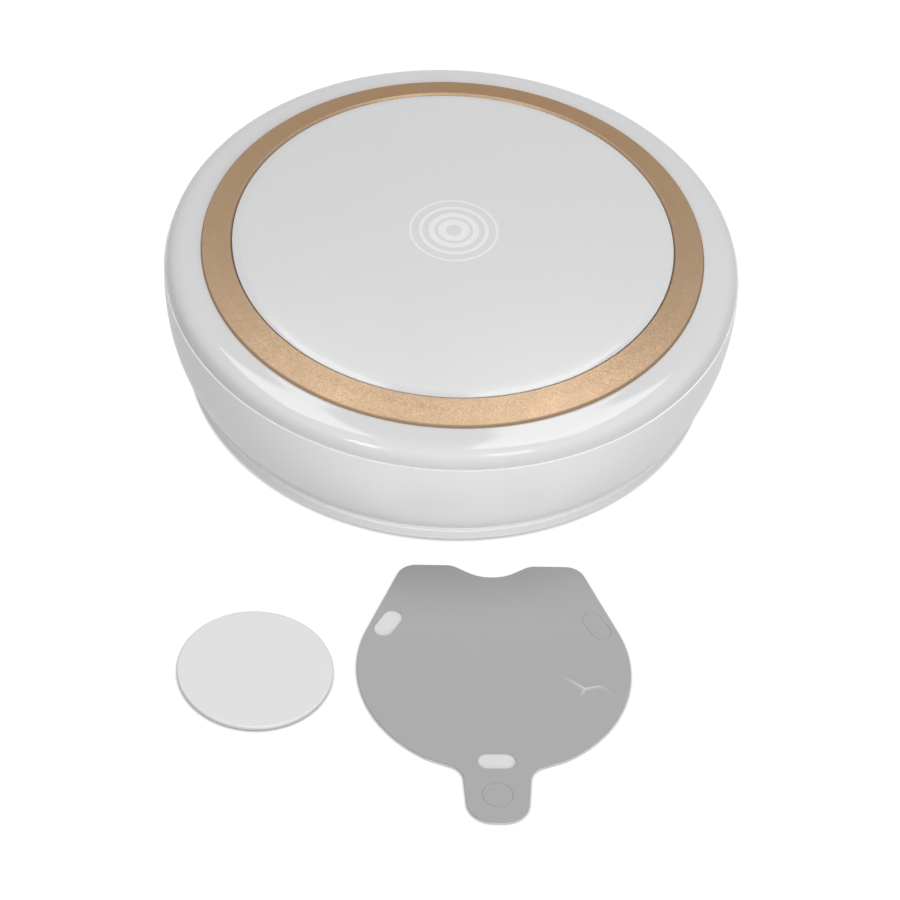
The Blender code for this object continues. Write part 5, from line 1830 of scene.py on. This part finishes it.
@dataclass
class AdhesiveSheet:
    """The grey die-cut adhesive sheet on its liner, with the two slugs that are still in place.

    The sheet keeps inside its outlines by liner_margin, which widens its holes by as much. So slug_gap,
    by which a slug is smaller than the hole as drawn, is below zero, and 0.03 mm stay open round it.
    """

    finishes: Finishes
    crease: Crease = field(default_factory=Crease)
    centre: Point = (12.7, -86.2)
    turn: float = math.radians(3.4)
    liner_top: float = 0.2
    bottom: float = 0.3
    top: float = 0.5
    radius: float = 26.4
    flank_lean: float = math.radians(22.5)
    top_stand_out: float = 0.9
    corner_radius: float = 4.0
    notch_half_width: float = 7.6
    notch_floor: float = 2.5
    notch_rounding: float = 8.5
    notch_depth: float = 3.1
    tab_root: float = 6.6
    tab_tip: float = 5.7
    tab_length: float = 12.07
    tab_tip_radius: float = 5.0
    tab_fillet: float = 3.5
    slot_circle: float = 23.3
    slot_length: float = 7.0
    slot_width: float = 3.6
    right_slot: float = math.radians(30)
    left_slot: float = math.radians(150)
    tab_slot: float = math.radians(270)
    tab_hole_inset: float = 6.8
    tab_hole_radius: float = 2.8
    slug_gap: float = -0.09
    cut_edge: float = 0.05
    liner_margin: float = 0.12
    fine_grid: float = 0.22
    grid_merge: float = 0.001
    outline_merge: float = 0.002
    arc_steps: int = 90
    corner_steps: int = 14
    slot_steps: int = 12
    disc_steps: int = 48

    def half_outline(self) -> list[Corner]:
        """Return the corners of the right half, from the notch round to the tab's tip.

        Returns:
            The corners with their roundings.
        """
        r, lean = self.radius, self.flank_lean
        top = r + self.top_stand_out
        corner_x = (r - top * math.sin(lean)) / math.cos(lean)
        floor = top - self.notch_depth
        root_y = -math.sqrt(r ** 2 - self.tab_root ** 2)
        tip_y = -(r + self.tab_length)
        leave = math.asin(self.tab_root / r) + 2 * self.tab_fillet / r - math.pi / 2
        corners: list[Corner] = [
            (0.0, floor, 0.0),
            (self.notch_floor, floor, self.notch_rounding),
            (self.notch_half_width, top, self.corner_radius),
            (corner_x, top, self.corner_radius),
        ]
        for i in range(self.arc_steps + 1):
            corners.append((*polar(r, lean + (leave - lean) * i / self.arc_steps), 0.0))
        corners += [
            (self.tab_root, root_y, self.tab_fillet),
            (self.tab_tip, tip_y, self.tab_tip_radius),
            (0.0, tip_y, 0.0),
        ]
        return corners

    def outline(self) -> list[Point]:
        """Return the sheet's closed outline about its own centre."""
        right = rounded(self.half_outline(), closed=False, steps=self.corner_steps)
        return right + [(-x, y) for x, y in right[-2:0:-1]]

    def slot(self, angle: float, inset: float = 0.0) -> list[Point]:
        """Return a slot that lies across the radius at an angle.

        Args:
            angle: where its middle lies.
            inset: how far the outline keeps inside the drawn slot.

        Returns:
            The outline.
        """
        width = self.slot_width - 2 * inset
        length = self.slot_length - 2 * inset
        cx, cy = polar(self.slot_circle, angle)
        cosine, sine = math.cos(angle), math.sin(angle)
        return [(cx + x * cosine - y * sine, cy + x * sine + y * cosine)
                for x, y in rounded_rectangle(width, length, width / 2, self.slot_steps)]

    def tab_disc(self, inset: float = 0.0) -> list[Point]:
        """Return the round hole in the tab, or the slug that fits it.

        Args:
            inset: how far the outline keeps inside the drawn hole.

        Returns:
            The outline.
        """
        y = -(self.radius + self.tab_length) + self.tab_hole_inset
        circle = [polar(self.tab_hole_radius - inset, angle) for angle in spaced_angles(self.disc_steps)]
        return [(across, y + along) for across, along in circle]

    def film(self, name: str, outlines: Sequence[Sequence[Point]], bottom: float,
             top: float, margin: float = 0.0) -> bpy.types.Object:
        """Build a flat film with softly cut edges, and press the crease into it.

        Args:
            name: the object's name.
            outlines: the outer outline, clockwise, and then the holes, the other way round.
            bottom: height of the underside.
            top: height of the upper face.
            margin: how far the film keeps inside its outlines.

        Returns:
            The film in its place.
        """
        curve = bpy.data.curves.new(name, "CURVE")
        curve.dimensions = "2D"
        curve.fill_mode = "BOTH"
        curve.extrude = (top - bottom) / 2 - self.cut_edge
        curve.bevel_depth = self.cut_edge
        curve.bevel_resolution = 0
        curve.offset = -self.cut_edge - margin
        for outline in outlines:
            spline = curve.splines.new("POLY")
            spline.points.add(len(outline) - 1)
            for point, (x, y) in zip(spline.points, outline):
                point.co = (x, y, 0.0, 1.0)
            spline.use_cyclic_u = True
        guide = placed(name + "_outline", curve)
        graph = bpy.context.evaluated_depsgraph_get()
        flat = bpy.data.meshes.new_from_object(guide.evaluated_get(graph))
        bpy.data.objects.remove(guide)

        def build(work: bmesh.types.BMesh) -> None:
            """Cut the film into a grid and bend it.

            Args:
                work: the mesh that it fills.
            """
            work.from_mesh(flat)
            bmesh.ops.remove_doubles(work, verts=work.verts, dist=self.outline_merge)
            if bottom > self.liner_top:
                self.cut_grid(work)
                for vert in work.verts:
                    vert.co.z += self.crease.rise(vert.co.x, vert.co.y)
            bmesh.ops.translate(work, vec=(0.0, 0.0, (top + bottom) / 2), verts=work.verts)
            placing = Matrix.Translation((*self.centre, 0.0)) @ Matrix.Rotation(self.turn, 4, "Z")
            bmesh.ops.transform(work, matrix=placing, verts=work.verts)

        return make_object(name, build)

    def cut_grid(self, work: bmesh.types.BMesh) -> None:
        """Cut a film's faces along a fine grid round the crease.

        Args:
            work: the film's mesh.
        """
        low, high = (Vector(corner) for corner in self.crease.area)
        for normal in (Vector((1.0, 0.0, 0.0)), Vector((0.0, 1.0, 0.0))):
            start, end = normal.xy.dot(low), normal.xy.dot(high)
            for i in range(int((end - start) / self.fine_grid) + 1):
                faces = [face for face in work.faces if self.near_crease(face, low, high)]
                verts = list({vert for face in faces for vert in face.verts})
                edges = list({edge for face in faces for edge in face.edges})
                bmesh.ops.bisect_plane(work, geom=verts + edges + faces, dist=self.grid_merge,
                                       plane_co=normal * (start + i * self.fine_grid), plane_no=normal)

    def near_crease(self, face: bmesh.types.BMFace, low: Vector, high: Vector) -> bool:
        """Say whether a face reaches into the area round the crease.

        Args:
            face: the face.
            low: lowest corner of the area.
            high: highest corner of it.

        Returns:
            True if it does.
        """
        xs = [vert.co.x for vert in face.verts]
        ys = [vert.co.y for vert in face.verts]
        return max(xs) > low.x and min(xs) < high.x and max(ys) > low.y and min(ys) < high.y

    def build(self) -> None:
        """Build and dress the liner, the sheet and its slugs."""
        outline = self.outline()
        liner = self.film("release_liner", [outline], 0.0, self.liner_top)
        dress(liner, self.finishes.liner, "loose_sheet", "release_film", "sheet_liner")
        holes = [self.slot(angle) for angle in (self.right_slot, self.left_slot, self.tab_slot)]
        holes.append(self.tab_disc())
        sheet = self.film("grey_sheet", [outline] + holes, self.bottom, self.top, self.liner_margin)
        dress(sheet, self.finishes.film, "loose_sheet", "adhesive_film", "adhesive_sheet")
        slug = self.film("right_slug", [self.slot(self.right_slot, self.slug_gap)[::-1]], self.bottom,
                         self.top)
        dress(slug, self.finishes.film, "loose_sheet", "adhesive_film", "slot_slug")
        plug = self.film("tab_plug", [self.tab_disc(self.slug_gap)[::-1]], self.bottom, self.top)
        dress(plug, self.finishes.film, "loose_sheet", "adhesive_film", "tab_slug")


@dataclass
class InnerWorks:
    """The nodes inside the housing, which keep their solids and get their own finishes."""

    finishes: Finishes

    def build(self) -> None:
        """Finish every inner node."""
        f = self.finishes
        groups: dict[str, Finish] = {
            "base_magnet": f.magnet, "reflector_pan": f.reflector, "led_board": f.white_board,
            "touch_electrode": f.copper, "touch_spring": f.steel, "battery_cell": f.wrap,
            "battery_pad": f.foam, "battery_lead_red": f.red_jacket, "led_lead_red": f.red_jacket,
            "battery_lead_black": f.black_jacket, "led_lead_black": f.black_jacket,
            "control_board": f.green_board, "control_chip": f.epoxy, "switch_body": f.steel,
            "indicator_led": f.phosphor,
        }
        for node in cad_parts:
            if node.removeprefix("led_").isdigit():
                groups[node] = f.phosphor
            if node.startswith(("board_screw", "control_screw")):
                groups[node] = f.steel
        for node, finish in sorted(groups.items()):
            recoat(node, finish)


# Studio


@dataclass(frozen=True)
class SoftBox:
    """A soft lamp that hangs about the object.

    Attributes:
        name: the lamp's name.
        place: its centre in metres.
        target: the point that it faces.
        size: its width and height in metres.
        radiance: how bright it looks, where one is white.
        mirrored: whether it shows in glossy surfaces.
    """

    name: str
    place: tuple[float, float, float]
    target: tuple[float, float, float]
    size: Point
    radiance: float
    mirrored: bool = True

    def build(self) -> None:
        """Hang the lamp and aim it."""
        data = bpy.data.lights.new(self.name, "AREA")
        data.shape = "RECTANGLE"
        data.size, data.size_y = self.size
        data.energy = self.radiance * self.size[0] * self.size[1] * math.pi
        lamp = placed(self.name, data)
        lamp.location = self.place
        aim = Vector(self.target) - Vector(self.place)
        lamp.rotation_euler = aim.to_track_quat("-Z", "Y").to_euler()
        lamp.visible_camera = False
        lamp.visible_glossy = self.mirrored


@dataclass
class Studio:
    """White floor and surroundings, soft lamps, and the camera at the photograph's angle.

    Attributes:
        camera_place: where the camera stands, in metres.
        camera_pitch: how far it looks down from the level.
        camera_roll: how far it is rolled about its own line of sight.
        lens_mm: focal length.
        sensor_mm: width of the sensor.
        floor_size: length of the floor's sides in metres.
        floor_drop: how far the floor lies under the feet, in metres.
        floor_colour: sRGB hex colour that the paper throws back on the object.
        floor_lift: how bright the paper looks to the camera before the lamps add to it.
        contact_mm: reach of the dark line where something touches the paper.
        contact_samples: rays by which that line is found.
        fill: strength of the even light from all round.
        boxes: the soft lamps.
    """

    camera_place: tuple[float, float, float] = (0.001818, -0.730725, 0.711258)
    camera_pitch: float = math.radians(45.3246)
    camera_roll: float = math.radians(3.3919)
    lens_mm: float = 200.0
    sensor_mm: float = 36.0
    floor_size: float = 6.0
    floor_drop: float = 0.0001
    floor_colour: str = "#606060"
    floor_lift: float = 0.96
    contact_mm: float = 0.7
    contact_samples: int = 8
    fill: float = 0.35
    boxes: tuple[SoftBox, ...] = (
        SoftBox("overhead_left", (-0.335, 0.48, 1.20), (-0.335, 0.48, 0.0), (0.33, 0.60), 4.4),
        SoftBox("overhead_right", (0.275, 0.43, 1.20), (0.275, 0.43, 0.0), (0.40, 0.70), 4.5),
        SoftBox("front_left", (-0.48, -0.82, 0.88), (0.0, 0.0, 0.02), (0.22, 0.40), 7.4),
        SoftBox("front_right", (0.42, -0.78, 0.95), (0.0, 0.0, 0.02), (0.30, 0.40), 5.5),
        SoftBox("left_key", (-0.96, -1.64, 1.76), (0.0, 0.0, 0.02), (0.80, 0.80), 0.6, False),
        SoftBox("front_key", (0.12, -2.10, 0.62), (0.0, 0.0, 0.02), (1.20, 1.10), 5.4, False),
        SoftBox("right_key", (1.60, -1.20, 0.90), (0.0, 0.0, 0.02), (0.80, 0.80), 4.6, False),
        SoftBox("back_key", (0.00, 2.20, 0.30), (0.0, 0.0, 0.02), (1.60, 0.60), 3.0, False),
    )

    def build(self) -> None:
        """Build the whole studio."""
        self.build_camera()
        self.build_world()
        self.build_floor()
        for box in self.boxes:
            box.build()
        bpy.context.scene.view_settings.view_transform = "Standard"

    def build_camera(self) -> None:
        """Set the camera up: it looks down along +Y and is rolled a little."""
        data = bpy.data.cameras.new("product_camera")
        data.lens, data.sensor_width = self.lens_mm, self.sensor_mm
        camera = placed("product_camera", data)
        camera.location = self.camera_place
        tilt = Matrix.Rotation(math.pi / 2 - self.camera_pitch, 4, "X")
        camera.rotation_euler = (tilt @ Matrix.Rotation(self.camera_roll, 4, "Z")).to_euler()
        bpy.context.scene.camera = camera

    def seen(self, tree: bpy.types.NodeTree) -> bpy.types.NodeSocket:
        """Return one for rays from the camera, a mirror or a clear piece, and zero for the rest.

        Args:
            tree: the tree that asks.

        Returns:
            The socket of that number.
        """
        path = add_node(tree, "ShaderNodeLightPath")
        first = add_node(tree, "ShaderNodeMath", {"operation": "MAXIMUM"}, {
            0: path.outputs["Is Camera Ray"], 1: path.outputs["Is Glossy Ray"]})
        both = add_node(tree, "ShaderNodeMath", {"operation": "MAXIMUM"}, {
            0: first.outputs[0], 1: path.outputs["Is Transmission Ray"]})
        return both.outputs[0]

    def build_world(self) -> None:
        """Make the surroundings white to look at, and a plain fill to light with."""
        world = bpy.data.worlds.new("white_surroundings")
        bpy.context.scene.world = world
        world.use_nodes = True
        tree = world.node_tree
        tree.nodes.clear()
        fill = add_node(tree, "ShaderNodeBackground", inputs={"Strength": self.fill})
        white = add_node(tree, "ShaderNodeBackground", inputs={"Strength": 1.0})
        for node in (fill, white):
            node.inputs["Color"].default_value = (1.0, 1.0, 1.0, 1.0)
        mix = add_node(tree, "ShaderNodeMixShader", inputs={
            0: self.seen(tree), 1: fill.outputs[0], 2: white.outputs[0]})
        add_node(tree, "ShaderNodeOutputWorld", inputs={"Surface": mix.outputs[0]})

    def build_floor(self) -> None:
        """Lay the floor: white paper that keeps the object's shadow."""
        half = self.floor_size / 2
        mesh = bpy.data.meshes.new("studio_floor")
        work = bmesh.new()
        bmesh.ops.create_grid(work, x_segments=1, y_segments=1, size=half)
        work.to_mesh(mesh)
        work.free()
        floor = placed("studio_floor", mesh)
        floor.location = (0.0, 0.0, -self.floor_drop)
        material = bpy.data.materials.new("white_background_paper")
        material.use_nodes = True
        tree = material.node_tree
        tree.nodes.clear()
        paper = add_node(tree, "ShaderNodeBsdfDiffuse", inputs={"Color": linear(self.floor_colour)})
        near = add_node(tree, "ShaderNodeAmbientOcclusion", {"samples": self.contact_samples},
                        {"Distance": self.contact_mm * MM})
        lift = add_node(tree, "ShaderNodeMath", {"operation": "MULTIPLY"}, {
            0: near.outputs["AO"], 1: self.floor_lift})
        glow = add_node(tree, "ShaderNodeMath", {"operation": "MULTIPLY"}, {
            0: self.seen(tree), 1: lift.outputs[0]})
        light = add_node(tree, "ShaderNodeEmission", inputs={"Strength": glow.outputs[0]})
        both = add_node(tree, "ShaderNodeAddShader", inputs={0: paper.outputs[0], 1: light.outputs[0]})
        add_node(tree, "ShaderNodeOutputMaterial", inputs={"Surface": both.outputs[0]})
        mesh.materials.append(material)


def main() -> None:
    """Build the studio, the lamp, the disc and the sheet, in that order."""
    logging.basicConfig(level=logging.INFO, format="%(name)s: %(message)s")
    Studio().build()
    sizes, finishes = HousingSizes(), Finishes()
    ports = RearPorts(sizes, finishes)
    TopDiffuser(sizes, finishes).build()
    TrimRing(sizes, finishes).build()
    LowerShell(sizes, finishes, ports).build()
    BaseCover(sizes, finishes).build()
    ports.build()
    MountingDisc(finishes).build()
    AdhesiveSheet(finishes).build()
    InnerWorks(finishes).build()


if __name__ == "__main__":
    main()
